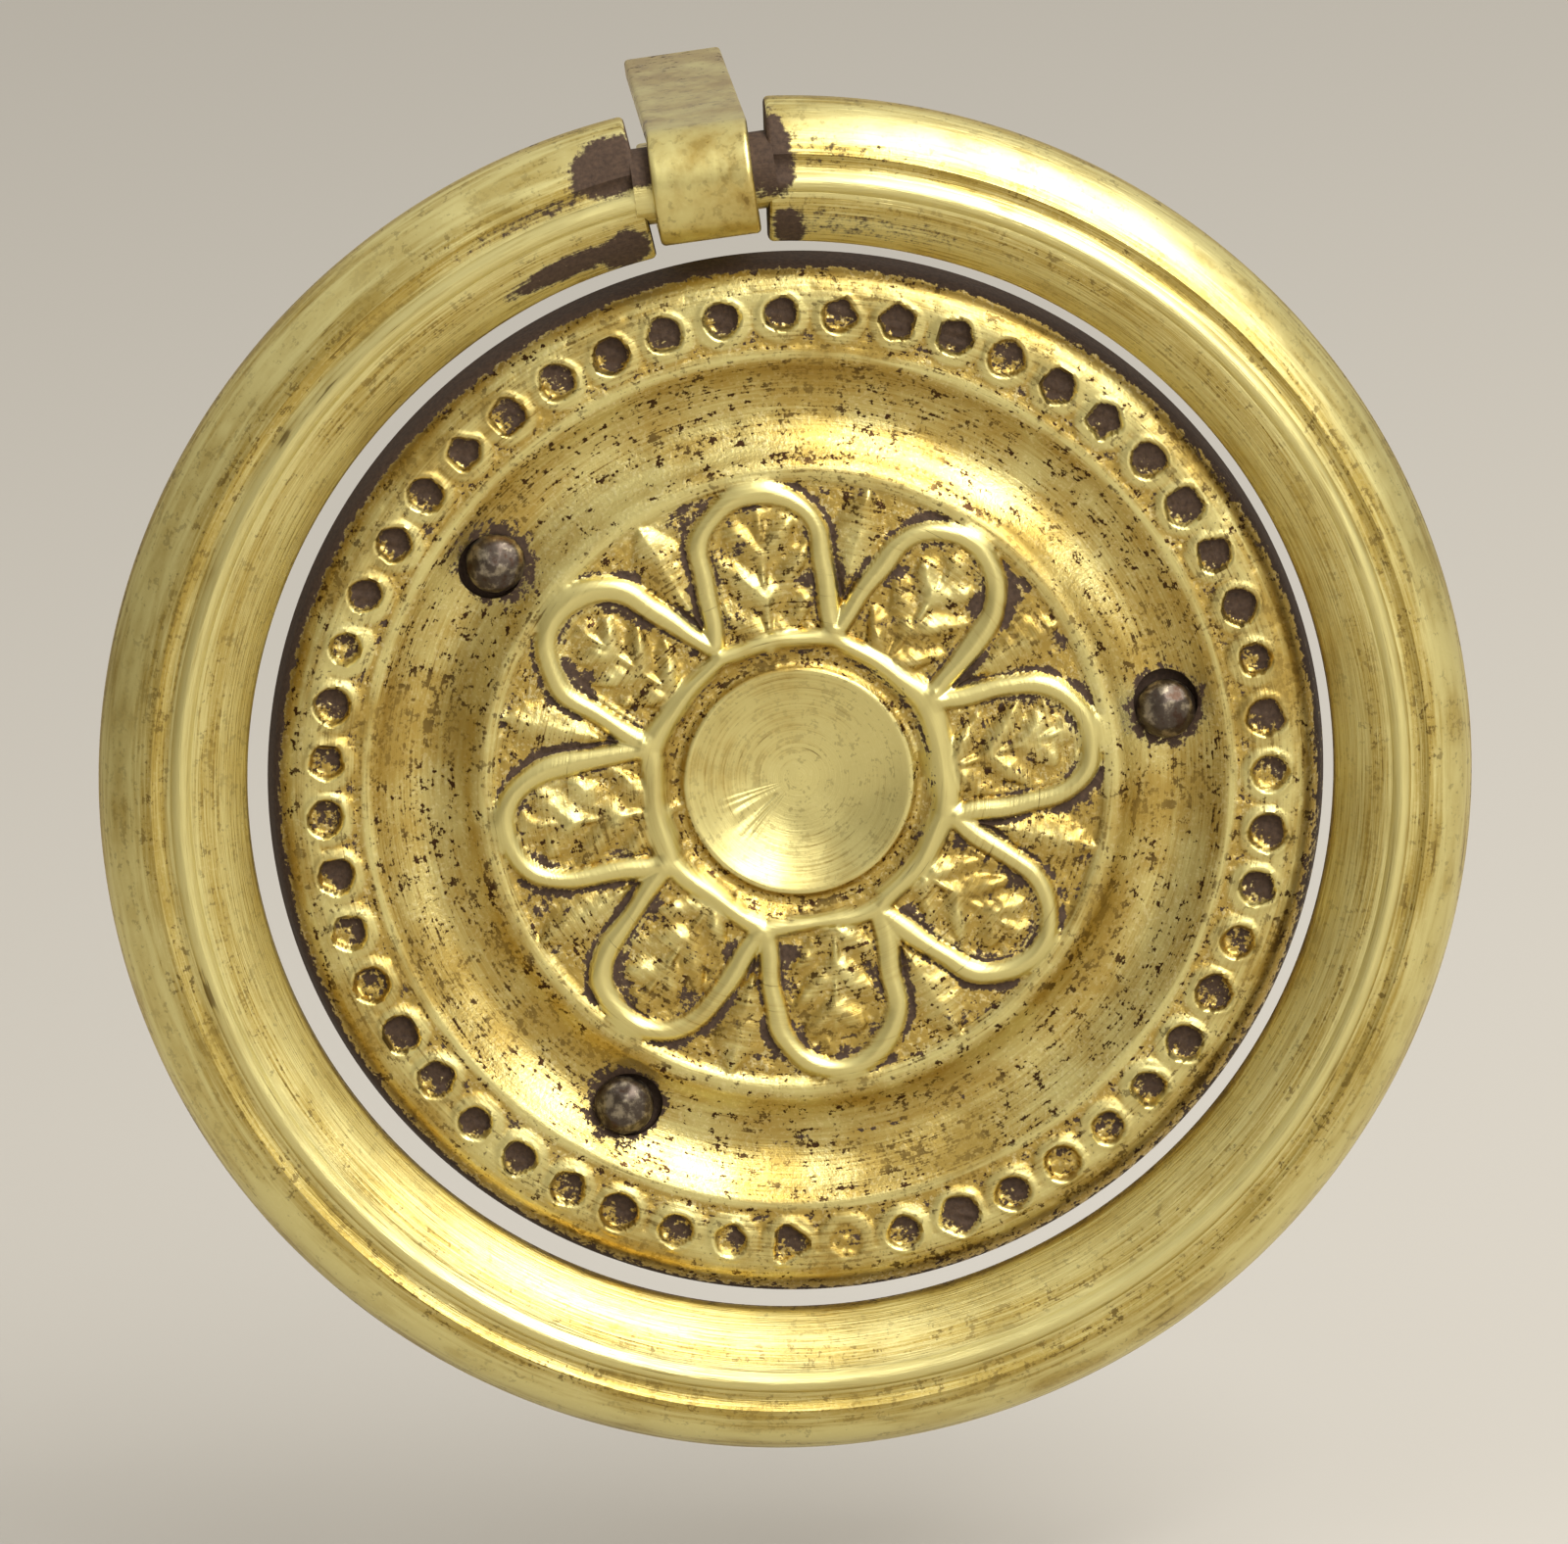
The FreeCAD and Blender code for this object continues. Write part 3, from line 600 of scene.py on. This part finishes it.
@dataclass
class Backplate:
    """The struck brass plate, turned as far as it was nailed on askew."""

    turned: float = -1.5
    right: float = 0.3
    up: float = 0.18
    steps: int = 340
    pin_circle: float = 19.125
    pin_turns: tuple[float, float, float] = (88.8, 217.2, 315.7)
    hole_radius: float = 1.65
    hole_drift: float = 0.35
    hole_drift_turns: tuple[float, float, float] = (9.5, 101.5, 236.5)
    # Height of the thin floor left in each pin hole, which is painted dark as painted shade.
    shaded_floor_height: float = 0.46
    hairlines: tuple[tuple[float, float, float, float], ...] = (
        (163.0, 7.0, 18.8, 0.35), (177.0, 6.0, 18.7, -0.2), (190.0, 5.0, 19.0, 0.2),
    )
    dots: DotBand = field(default_factory=DotBand)
    flower: Flower = field(default_factory=Flower)

    def section(self) -> list[Spot]:
        """Section from the middle of the back, round the rim, to the middle of the dish."""
        plate = Section(0, 0.4)
        plate.to(12, 0.4, 2).to(25.5, 0.4, 3).to(25.5, 0, 1).to(27.05, 0, 2)
        plate.to(26.85, 0.95, 3).to(25.8, 2.25, 6, 0.24).to(25.3, 2.32, 2, 0.02).to(22.5, 2.32, 7)
        plate.to(21.75, 2.3, 2).to(16.45, 2.3, 16, -1.3).to(15.75, 2.36, 2, 0.03).to(15.4, 2.2, 1)
        plate.to(7.3, 2.2, 29).to(6.25, 1.78, 4).to(6.02, 1.86, 1).to(5.78, 2.06, 2).to(5.6, 2.02, 1)
        plate.to(0, 1.0, 26, -0.36)
        return plate.points

    def place(self, turn: float, distance: float) -> Vector:
        """A point of the plate's face by its turn and distance from the middle."""
        angle = math.radians(turn + self.turned)
        return Vector((distance * math.sin(angle), 0, distance * math.cos(angle)))

    def blank(self) -> bpy.types.Mesh:
        """Spin the plate, with finer faces where its relief is fine, and cut its pin holes.

        Returns:
            The plate's mesh without its relief.
        """
        plate = spun(self.section(), self.steps)
        for low, high, cuts in ((22.2, 26.0, 2), (7.1, 15.9, 1)):
            near = [
                edge for edge in plate.edges
                if all(low < math.hypot(v.co.x, v.co.z) < high and v.co.y < -0.9 for v in edge.verts)
            ]
            bmesh.ops.subdivide_edges(plate, edges=near, cuts=cuts, use_grid_fill=True)
        mesh = bpy.data.meshes.new("plate")
        plate.to_mesh(mesh)
        plate.free()
        punch = bmesh.new()
        for turn, drift in zip(self.pin_turns, self.hole_drift_turns):
            spot = self.place(turn, self.pin_circle) + self.place(drift, self.hole_drift)
            where = Matrix.Translation(spot) @ Matrix.Rotation(math.pi / 2, 4, "X")
            # The punch stops short of the back, leaving a thin floor that is painted dark as painted shade.
            where = Matrix.Translation((0, -6 - self.shaded_floor_height, 0)) @ where
            bmesh.ops.create_cone(
                punch, cap_ends=True, segments=56, radius1=self.hole_radius, radius2=self.hole_radius,
                depth=12, matrix=where,
            )
        tool_mesh = bpy.data.meshes.new("punch")
        punch.to_mesh(tool_mesh)
        punch.free()
        plate_object, tool = bpy.data.objects.new("plate", mesh), bpy.data.objects.new("punch", tool_mesh)
        for item in (plate_object, tool):
            bpy.context.scene.collection.objects.link(item)
        cut = plate_object.modifiers.new("holes", "BOOLEAN")
        cut.operation, cut.object, cut.solver = "DIFFERENCE", tool, "EXACT"
        bpy.context.view_layer.update()
        punched = plate_object.evaluated_get(bpy.context.evaluated_depsgraph_get())
        made = bpy.data.meshes.new_from_object(punched)
        for item in (plate_object, tool):
            bpy.data.objects.remove(item)
        return made

    def cracks(self, radius: Array, turn: Array) -> Array:
        """Depth of the hairline cracks that run along the bottom of the trough."""
        depth = np.zeros_like(radius)
        for middle, half, where, lean in self.hairlines:
            along = (np.degrees(turn) % 360 - middle) / half
            line = where + lean * along + 0.12 * np.sin(5 * along)
            depth = depth + 0.1 * np.exp(-(((radius - line) / 0.14) ** 2)) * ease((1 - np.abs(along)) / 0.3)
        return depth

    def build(self) -> bpy.types.Object:
        """Raise the relief on the blank and dress it.

        Returns:
            The finished plate.
        """
        mesh = self.blank()
        points = points_of(mesh)
        radius = np.hypot(points[:, 0], points[:, 2])
        turn = np.arctan2(points[:, 0], points[:, 2]) - math.radians(self.turned)
        height = -points[:, 1]
        front = ((height > 0.5) & (radius < 26.3)).astype(float)
        dot_rise, dot_polish, dot_crust_and_shade = self.dots.relief(radius, turn)
        on_flower = (radius < 15.9) * ease((radius - 5.75) / 0.6)
        rise, polish, crust_and_shade = self.flower.relief(radius, turn)
        line = np.exp(-(((radius - 22.1) / 0.27) ** 2))
        across, up = radius * np.sin(turn), radius * np.cos(turn)
        in_trough = ease((22 - radius) / 0.8) * ease((radius - 16.2) / 0.8)
        sag = 0.02 * ripple(across, up, 6.0, 3) + 0.006 * ripple(across, up, 1.6, 7)
        in_fan = ease((26 - np.abs(np.degrees(turn) % 360 - 246)) / 14) * ease((radius - 0.9) / 0.8)
        fan = in_fan * ease((4.5 - radius) / 1.6) * 0.035 * np.sin(44 * turn + 2.4 * np.sin(11 * turn))
        fan = fan * (0.75 + 0.35 * np.sin(2.9 * radius + 17 * turn))
        in_dish = ease((5.4 - radius) / 0.4)
        total = dot_rise + on_flower * rise + 0.14 * line + in_trough * sag + fan
        total = total + in_dish * 0.015 * ripple(across, up, 3.2, 23) - self.cracks(radius, turn)
        points[:, 1] -= front * total
        put_points(mesh, points)
        shoulder = ease((radius - 25.4) / 0.4)
        flower_edge = np.exp(-(((radius - 15.95) / 0.5) ** 2))
        dish = ease((5.95 - radius) / 0.15)
        burnish = 0.7 * dot_polish + on_flower * polish + 0.85 * line + 0.3 * shoulder
        burnish = burnish + 0.7 * flower_edge + 0.85 * dish
        burnish = burnish * front
        oxide_and_shade = front * (dot_crust_and_shade + on_flower * crust_and_shade) + (1 - front) * 0.3
        # Painted shade: the plate's outer rim wall is painted dark, darkest towards the upper left, so that it
        # reads as a shadow line round the plate.
        shaded_rim_wall = ease((radius - 25.9) / 0.2) * ease((1.95 - height) / 0.5)
        oxide_and_shade = oxide_and_shade + shaded_rim_wall * (0.68 + 0.42 * np.cos(turn + 0.5))
        oxide_and_shade = oxide_and_shade + front * 7 * self.cracks(radius, turn)
        # Painted shade: the floor and low wall of each pin hole are painted dark, for the shadowed gap behind
        # the plate. The front is also darker round each pin head.
        in_hole = (height > 0.43) & (height < 0.9)
        for spot_turn in self.pin_turns:
            spot = self.place(spot_turn, self.pin_circle)
            away = np.hypot(points[:, 0] - spot.x, points[:, 2] - spot.z)
            oxide_and_shade = oxide_and_shade + 0.75 * front * ease((3.1 - away) / 1.7) + 1.2 * (away < 2.4) * in_hole
        paint(mesh, "polish", np.clip(burnish + in_trough * 0.36, 0, 1))
        paint(mesh, "crust_and_shade", np.clip(oxide_and_shade, 0, 1.4))
        round_it = np.clip(radius / 4, 0, 5)
        lay = np.stack([round_it * np.sin(turn), round_it * np.cos(turn), (radius + height) / 0.16], axis=1)
        paint(mesh, "lay", lay)
        points += np.array([self.right, 0, self.up])
        put_points(mesh, points)
        piece = link_piece("plate_relief", mesh, WornBrass("struck_brass_worn").build(), crease=60)
        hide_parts("backplate")
        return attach(piece, Body.FIXED.value)


@dataclass
class PullRing:
    """The moulded ring with the neck that its strap holds."""

    right: float = -0.3
    up: float = 0.59
    back: float = 2.288
    radius: float = 35.0
    bore: float = 27.7
    bore_shift: float = 0.26
    gap_half_turn: float = 5.85
    steps: int = 600
    neck_radius: float = 1.95
    neck_height: float = 31.35
    end_rounding: float = 0.4

    def section(self) -> list[Spot]:
        """Closed section, from the back's outer corner round the front to the bore and back."""
        ring = Section(34.7, 0).to(35.0, 0.3, 2, 0.06).to(34.98, 0.95, 2).to(32.45, 3.52, 12, 0.46)
        ring.to(31.5, 3.42, 5, -0.16).to(30.5, 3.4, 8, 0.32).to(30.25, 3.36, 1).to(28.0, 1.7, 10, 0.26)
        ring.to(27.72, 1.2, 2, 0.05).to(27.7, 0.25, 2).to(27.95, 0, 2, 0.05).to(31.2, 0, 3).to(34.7, 0, 3)
        return [(radius, height + self.back) for radius, height in ring.points[:-1]]

    def build(self) -> bpy.types.Object:
        """Spin the ring from one side of the strap to the other, round its ends and add the neck.

        Returns:
            The finished ring.
        """
        section = self.section()
        ring = spun([*section, section[0]], self.steps, self.gap_half_turn, 360 - 2 * self.gap_half_turn)
        rims = [edge for edge in ring.edges if edge.is_boundary]
        bmesh.ops.holes_fill(ring, edges=rims, sides=0)
        bmesh.ops.bevel(
            ring, geom=rims, offset=self.end_rounding, offset_type="OFFSET", affect="EDGES",
            segments=4, profile=0.5, material=-1, clamp_overlap=True,
        )
        length = 2 * (self.neck_height * math.sin(math.radians(self.gap_half_turn)) + 0.4)
        where = Matrix.Translation((0, -self.back - self.neck_radius, self.neck_height))
        bmesh.ops.create_cone(
            ring, cap_ends=True, segments=48, radius1=self.neck_radius, radius2=self.neck_radius,
            depth=length, matrix=where @ Matrix.Rotation(math.pi / 2, 4, "Y"),
        )
        bmesh.ops.recalc_face_normals(ring, faces=ring.faces)
        mesh = bpy.data.meshes.new("ring")
        ring.to_mesh(mesh)
        ring.free()
        points = points_of(mesh)
        radius = np.hypot(points[:, 0], points[:, 2])
        turn = np.arctan2(points[:, 0], points[:, 2])
        height = -points[:, 1] - self.back
        front = ease((height - 0.8) / 0.6)
        points[:, 1] -= front * 0.012 * ripple(points[:, 0], points[:, 2], 5.0, 21)
        clear = ease((np.abs(radius * turn) - 6.0) / 10.0)
        share = np.clip((self.radius - radius) / (self.radius - self.bore), 0, 1)
        points[:, 0] += self.bore_shift * clear * share
        bead = ease((0.6 - np.abs(radius - 31.0)) / 0.15)
        # Painted reflection: the cove is made less burnished, darker gold, for the brown surround it reflects.
        # Painted shade: the outer half of the inner band is made darker gold the same way. The raised bead is
        # rubbed brighter.
        cove_painted_reflection = ease((1.1 - np.abs(radius - 32.3)) / 0.9)
        inner_band_painted_shade = ease((0.75 - np.abs(radius - 29.7)) / 0.6)
        polish = np.clip(0.66 + 0.5 * bead - 0.45 * cove_painted_reflection - 0.35 * inner_band_painted_shade, 0, 1) * front
        paint(mesh, "polish", polish)
        paint(mesh, "crust_and_shade", self.crust_and_shade(radius, turn, height))
        lay = np.stack([6 * np.sin(turn), 6 * np.cos(turn), (radius + height) / 0.14], axis=1)
        paint(mesh, "lay", lay)
        points += np.array([self.right, 0, self.up])
        put_points(mesh, points)
        finish = WornBrass(
            "cast_brass_rubbed", gold="#B79F54", burnished="#DED290",
            speckle=0.45, scratch_depth=0.035, smooth_roughness=0.28, grain_roughness=0.4,
            streak=1.3, streak_spread=0.3, mottle=0.5, scars=0.6, smudge=0.16, raggedness=0.9,
        )
        piece = link_piece("ring_moulded", mesh, finish.build(), crease=22)
        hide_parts("pull_ring")
        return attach(piece, Body.RING.value)

    def crust_and_shade(self, radius: Array, turn: Array, height: Array) -> Array:
        """Brown oxide of the ring at its ends, on its neck and in patches, with painted shade on the low part
        of its bore wall, and darker on its back.

        Args:
            radius: distance of each point from the ring's middle.
            turn: its turn round the ring, in radians.
            height: its height above the ring's flat back.

        Returns:
            How much crust and painted shade each point holds.
        """
        along = radius * turn
        # Painted shade: the low part of the bore wall is painted dark. The flat back is darker too.
        total = 0.75 * ease((0.9 - height) / 0.7) * (radius < 28.4) + 0.3 * (height < 0.05)
        total = total + 1.2 * (np.abs(turn) < math.radians(self.gap_half_turn + 0.1))
        patches = (
            (-4.6, 33.0, 2.4, 1.6, 0.95), (-7.2, 28.9, 4.0, 0.7, 0.85), (-4.4, 28.7, 1.5, 1.2, 0.9),
            (3.8, 32.4, 0.9, 2.2, 0.9), (3.9, 28.6, 0.9, 1.2, 0.9), (-10.0, 32.0, 6.0, 0.5, 0.45),
            (7.5, 28.9, 7.0, 0.9, 0.42), (7.0, 32.7, 4.5, 1.1, 0.34),
        )
        for middle, where, length, width, amount in patches:
            away = np.hypot((along - middle) / length, (radius - where) / width)
            total = np.maximum(total, amount * ease((1.35 - away) / 0.8))
        return np.clip(total, 0, 1.2)


@dataclass
class KnuckleStrap:
    """The strap of sheet brass bent round the ring's neck."""

    right: float = -0.3
    pivot_depth: float = 4.238
    pivot_up: float = 31.94
    middle_radius: float = 2.8
    thickness: float = 1.1
    width: float = 5.1
    tail_end: float = 24.0
    twist: float = -3.0
    bulge: float = 0.12
    bulge_depth: float = 4.2
    edge_rounding: float = 0.22

    def build(self) -> bpy.types.Object:
        """Bend the strap, give it its thickness and dress it.

        Returns:
            The finished strap.
        """
        strap = bmesh.new()
        half = self.width / 2
        row = [strap.verts.new((half * share, 0, self.middle_radius)) for share in np.linspace(-1, 1, 17)]
        lines = [strap.edges.new(pair) for pair in zip(row, row[1:])]
        bmesh.ops.spin(
            strap, geom=row + lines, cent=(0, 0, 0), axis=(1, 0, 0), angle=math.pi, steps=36,
            use_merge=False, use_duplicate=False,
        )
        run = self.tail_end + self.pivot_depth
        for sign in (-1, 1):
            ends = [
                edge for edge in strap.edges
                if edge.is_boundary and all(abs(v.co.y) < 1e-4 and v.co.z * sign > 0 for v in edge.verts)
            ]
            grown = bmesh.ops.extrude_edge_only(strap, edges=ends)["geom"]
            moved = [item for item in grown if isinstance(item, bmesh.types.BMVert)]
            bmesh.ops.translate(strap, verts=moved, vec=(0, run, 0))
        bmesh.ops.recalc_face_normals(strap, faces=strap.faces)
        bmesh.ops.solidify(strap, geom=strap.faces, thickness=self.thickness)
        bmesh.ops.recalc_face_normals(strap, faces=strap.faces)
        mesh = bpy.data.meshes.new("strap")
        strap.to_mesh(mesh)
        strap.free()
        return self.dress(mesh)

    def dress(self, mesh: bpy.types.Mesh) -> bpy.types.Object:
        """Round the edges, dent the face a little, put the strap in its place and finish it.

        Args:
            mesh: the bent strap about its own pivot.

        Returns:
            The finished strap.
        """
        strap = bmesh.new()
        strap.from_mesh(mesh)
        sharp = [e for e in strap.edges if len(e.link_faces) == 2 and e.calc_face_angle(0) > math.radians(50)]
        bmesh.ops.bevel(
            strap, geom=sharp, offset=self.edge_rounding, offset_type="OFFSET", affect="EDGES",
            segments=3, profile=0.5, material=-1, clamp_overlap=True,
        )
        strap.to_mesh(mesh)
        strap.free()
        points = points_of(mesh)
        round_bend = np.arctan2(points[:, 2], -points[:, 1]) * self.middle_radius
        outside = ease((np.hypot(points[:, 1], points[:, 2]) - 3.0) / 0.3) * (points[:, 1] < 0.5)
        dent = outside * 0.035 * ripple(points[:, 0], round_bend, 2.4, 31)
        points *= (1 - dent / 3.35)[:, None] * np.array([0, 1, 1]) + np.array([1, 0, 0])
        share = ease((2.0 - points[:, 1]) / 4.0)
        angle = np.radians(self.twist) * share
        across, back = points[:, 0].copy(), points[:, 1].copy()
        points[:, 0] = across * np.cos(angle) - back * np.sin(angle) * (share > 0)
        points[:, 1] = across * np.sin(angle) + back * np.cos(angle)
        in_wood = ease((back - self.pivot_depth) / 3)
        inner = ease((self.middle_radius - np.hypot(np.minimum(back, 0), points[:, 2])) / 0.3)
        paint(mesh, "polish", np.clip(0.62 - 0.3 * in_wood, 0, 1))
        paint(mesh, "crust_and_shade", np.clip(0.5 * inner * (back < 3) + 0.3 * in_wood, 0, 1))
        paint(mesh, "lay", np.stack([across / 1.1, round_bend / 1.4, back / 2], axis=1))
        slack = 1 + self.bulge * ease((self.bulge_depth - back) / self.bulge_depth)
        points[:, 2] = np.where(points[:, 2] < 0, points[:, 2] * slack, points[:, 2])
        points += np.array([self.right, -self.pivot_depth, self.pivot_up])
        put_points(mesh, points)
        finish = WornBrass(
            "sheet_brass_bent", speckle=0.35, grain_size=0.4, grain_depth=0.03, scratch_depth=0.01,
        )
        piece = link_piece("strap_bent", mesh, finish.build(), crease=40)
        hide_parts("knuckle_strap")
        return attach(piece, Body.FIXED.value)


@dataclass
class Pin:
    """One iron pin with a hammered head."""

    node: str
    turn: float
    seed: int
    circle: float = 19.125
    plate_turned: float = -1.5
    right: float = 0.3
    up: float = 0.18
    seat: float = 1.392
    head_radius: float = 1.53
    head_height: float = 1.15
    shank_radius: float = 0.75
    shank_length: float = 10.0
    point_length: float = 2.0

    def build(self, iron: bpy.types.Material) -> bpy.types.Object:
        """Forge the pin.

        Args:
            iron: the pins' finish.

        Returns:
            The finished pin.
        """
        pin = bmesh.new()
        bmesh.ops.create_uvsphere(pin, u_segments=44, v_segments=28, radius=self.head_radius)
        bmesh.ops.rotate(pin, verts=pin.verts, cent=(0, 0, 0), matrix=Matrix.Rotation(math.pi / 2, 3, "X"))
        flatten = self.head_height / self.head_radius
        for vert in pin.verts:
            vert.co.y *= flatten if vert.co.y < 0 else 0.12
        chance = np.random.default_rng(self.seed)
        for _ in range(9):
            turn, tilt = chance.uniform(0, 2 * math.pi), chance.uniform(0.15, 0.95)
            way = Vector((math.sin(turn) * math.sin(tilt), -math.cos(tilt), math.cos(turn) * math.sin(tilt)))
            reach = max(v.co.dot(way) for v in pin.verts) - chance.uniform(0.05, 0.12)
            for vert in pin.verts:
                over = vert.co.dot(way) - reach
                if over > 0:
                    vert.co -= way * over * 0.9
        bmesh.ops.translate(pin, verts=pin.verts, vec=(0, -self.seat, 0))
        turned = Matrix.Rotation(-math.pi / 2, 4, "X")
        length = self.shank_length + self.seat + 0.3
        bmesh.ops.create_cone(
            pin, cap_ends=True, segments=28, radius1=self.shank_radius, radius2=self.shank_radius,
            depth=length, matrix=Matrix.Translation((0, self.shank_length - length / 2, 0)) @ turned,
        )
        bmesh.ops.create_cone(
            pin, cap_ends=True, segments=4, radius1=0.7 * self.shank_radius, radius2=0.02,
            depth=self.point_length,
            matrix=Matrix.Translation((0, self.shank_length + self.point_length / 2, 0)) @ turned,
        )
        angle = math.radians(self.turn + self.plate_turned)
        across, up = self.circle * math.sin(angle) + self.right, self.circle * math.cos(angle) + self.up
        bmesh.ops.translate(pin, verts=pin.verts, vec=(across, 0, up))
        mesh = bpy.data.meshes.new(self.node)
        pin.to_mesh(mesh)
        pin.free()
        piece = link_piece(f"{self.node}_hammered", mesh, iron, crease=24)
        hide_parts(self.node)
        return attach(piece, Body.FIXED.value)


@dataclass
class Lamp:
    """One soft box: the way it stands from the handle, its distance, size and radiance."""

    name: str
    way: tuple[float, float, float]
    distance: float
    size: float
    radiance: float
    warmth: str = "#FFFFFF"

    def build(self) -> None:
        """Hang the lamp, facing the handle."""
        data = bpy.data.lights.new(self.name, "AREA")
        data.shape, data.size = "SQUARE", self.size
        data.energy = self.radiance * math.pi * self.size ** 2
        data.color = linear(self.warmth)[:3]
        lamp = bpy.data.objects.new(self.name, data)
        way = Vector(self.way).normalized()
        lamp.location = way * self.distance
        lamp.rotation_euler = way.to_track_quat("Z", "Y").to_euler()
        lamp.visible_camera = False
        bpy.context.scene.collection.objects.link(lamp)


@dataclass
class Studio:
    """Pale floor, soft lamps, a plain surround and the camera at the photograph's angle."""

    floor_colour: str = "#BDB8AF"
    dim_side: str = "#7E7354"
    pale_side: str = "#F2F0EC"
    pale_way: tuple[float, float, float] = (0.2, 0.0, 0.75)
    floor_height: float = -45.0
    floor_size: float = 6.0
    azimuth: float = -1.5
    elevation: float = 11.0
    roll: float = 8.0
    distance: float = 0.6
    lens: float = 270.5
    target: tuple[float, float, float] = (-0.402, -2.8, 0.925)
    lamps: tuple[Lamp, ...] = (
        Lamp("window", (0.6, -0.75, 0.75), 0.9, 0.45, 9.5),
        Lamp("overhead", (0.7, -0.25, 1.0), 0.9, 0.4, 5.5),
        Lamp("front", (0.36, -0.9, 0.3), 0.9, 0.3, 4.5),
    )

    def build(self) -> None:
        """Set the whole stage."""
        self.lay_floor()
        self.light_surround()
        for lamp in self.lamps:
            lamp.build()
        self.set_camera()
        bpy.context.scene.view_settings.view_transform = "Standard"

    def lay_floor(self) -> None:
        """Lay the plain pale floor."""
        floor = bmesh.new()
        bmesh.ops.create_grid(floor, x_segments=1, y_segments=1, size=self.floor_size / 2)
        bmesh.ops.translate(floor, verts=floor.verts, vec=(0, 0, self.floor_height * MM))
        mesh = bpy.data.meshes.new("floor")
        floor.to_mesh(mesh)
        floor.free()
        material = bpy.data.materials.new("matt_pale_floor")
        material.use_nodes = True
        shader = material.node_tree.nodes["Principled BSDF"]
        shader.inputs["Base Color"].default_value = linear(self.floor_colour)
        shader.inputs["Roughness"].default_value = 0.9
        shader.inputs["Specular IOR Level"].default_value = 0.1
        mesh.materials.append(material)
        item = bpy.data.objects.new("floor", mesh)
        bpy.context.scene.collection.objects.link(item)

    def light_surround(self) -> None:
        """Give the studio a soft surround, pale above the handle, warm and dim to its left."""
        world = bpy.data.worlds.new("studio")
        world.use_nodes = True
        tree = world.node_tree
        way = add(tree, "ShaderNodeTexCoord").outputs["Generated"]
        towards = add(tree, "ShaderNodeVectorMath", {
            0: way, 1: self.pale_way,
        }, operation="DOT_PRODUCT").outputs["Value"]
        share = add(tree, "ShaderNodeMapRange", {
            "Value": towards, "From Min": -0.28, "From Max": 0.7,
        }).outputs[0]
        colour = add(tree, "ShaderNodeMix", {
            0: share, 6: linear(self.dim_side), 7: linear(self.pale_side),
        }, data_type="RGBA").outputs[2]
        tree.links.new(colour, tree.nodes["Background"].inputs["Color"])
        bpy.context.scene.world = world

    def set_camera(self) -> None:
        """Stand the camera where the photograph was taken from, with its roll."""
        side, height = math.radians(self.azimuth), math.radians(self.elevation)
        level = math.cos(height)
        back = Vector((math.sin(side) * level, -math.cos(side) * level, math.sin(height)))
        level_right = Vector((math.cos(side), math.sin(side), 0))
        level_up = back.cross(level_right)
        tilt = math.radians(self.roll)
        up = level_up * math.cos(tilt) + level_right * math.sin(tilt)
        right = up.cross(back)
        data = bpy.data.cameras.new("camera")
        data.lens, data.sensor_width = self.lens, 36.0
        data.clip_start, data.clip_end = 0.01, 20.0
        camera = bpy.data.objects.new("camera", data)
        turn = Matrix((right, up, back)).transposed()
        stand = Vector(self.target) * MM + back * self.distance
        camera.matrix_world = Matrix.Translation(stand) @ turn.to_4x4()
        bpy.context.scene.collection.objects.link(camera)
        bpy.context.scene.camera = camera


def main() -> None:
    """Build every piece in order, log its face count and set the stage."""
    logging.basicConfig(level=logging.INFO, format="%(message)s")
    iron = HammeredIron().build()
    makers: list[Callable[[], bpy.types.Object]] = [
        Backplate().build,
        PullRing().build,
        KnuckleStrap().build,
        lambda: Pin("pin_right", 88.8, 2).build(iron),
        lambda: Pin("pin_lower_left", 217.2, 5).build(iron),
        lambda: Pin("pin_upper_left", 315.7, 8).build(iron),
    ]
    for make in makers:
        piece = make()
        LOG.info("%s: %d faces", piece.name, len(piece.data.polygons))
    Studio().build()


if __name__ == "__main__":
    main()
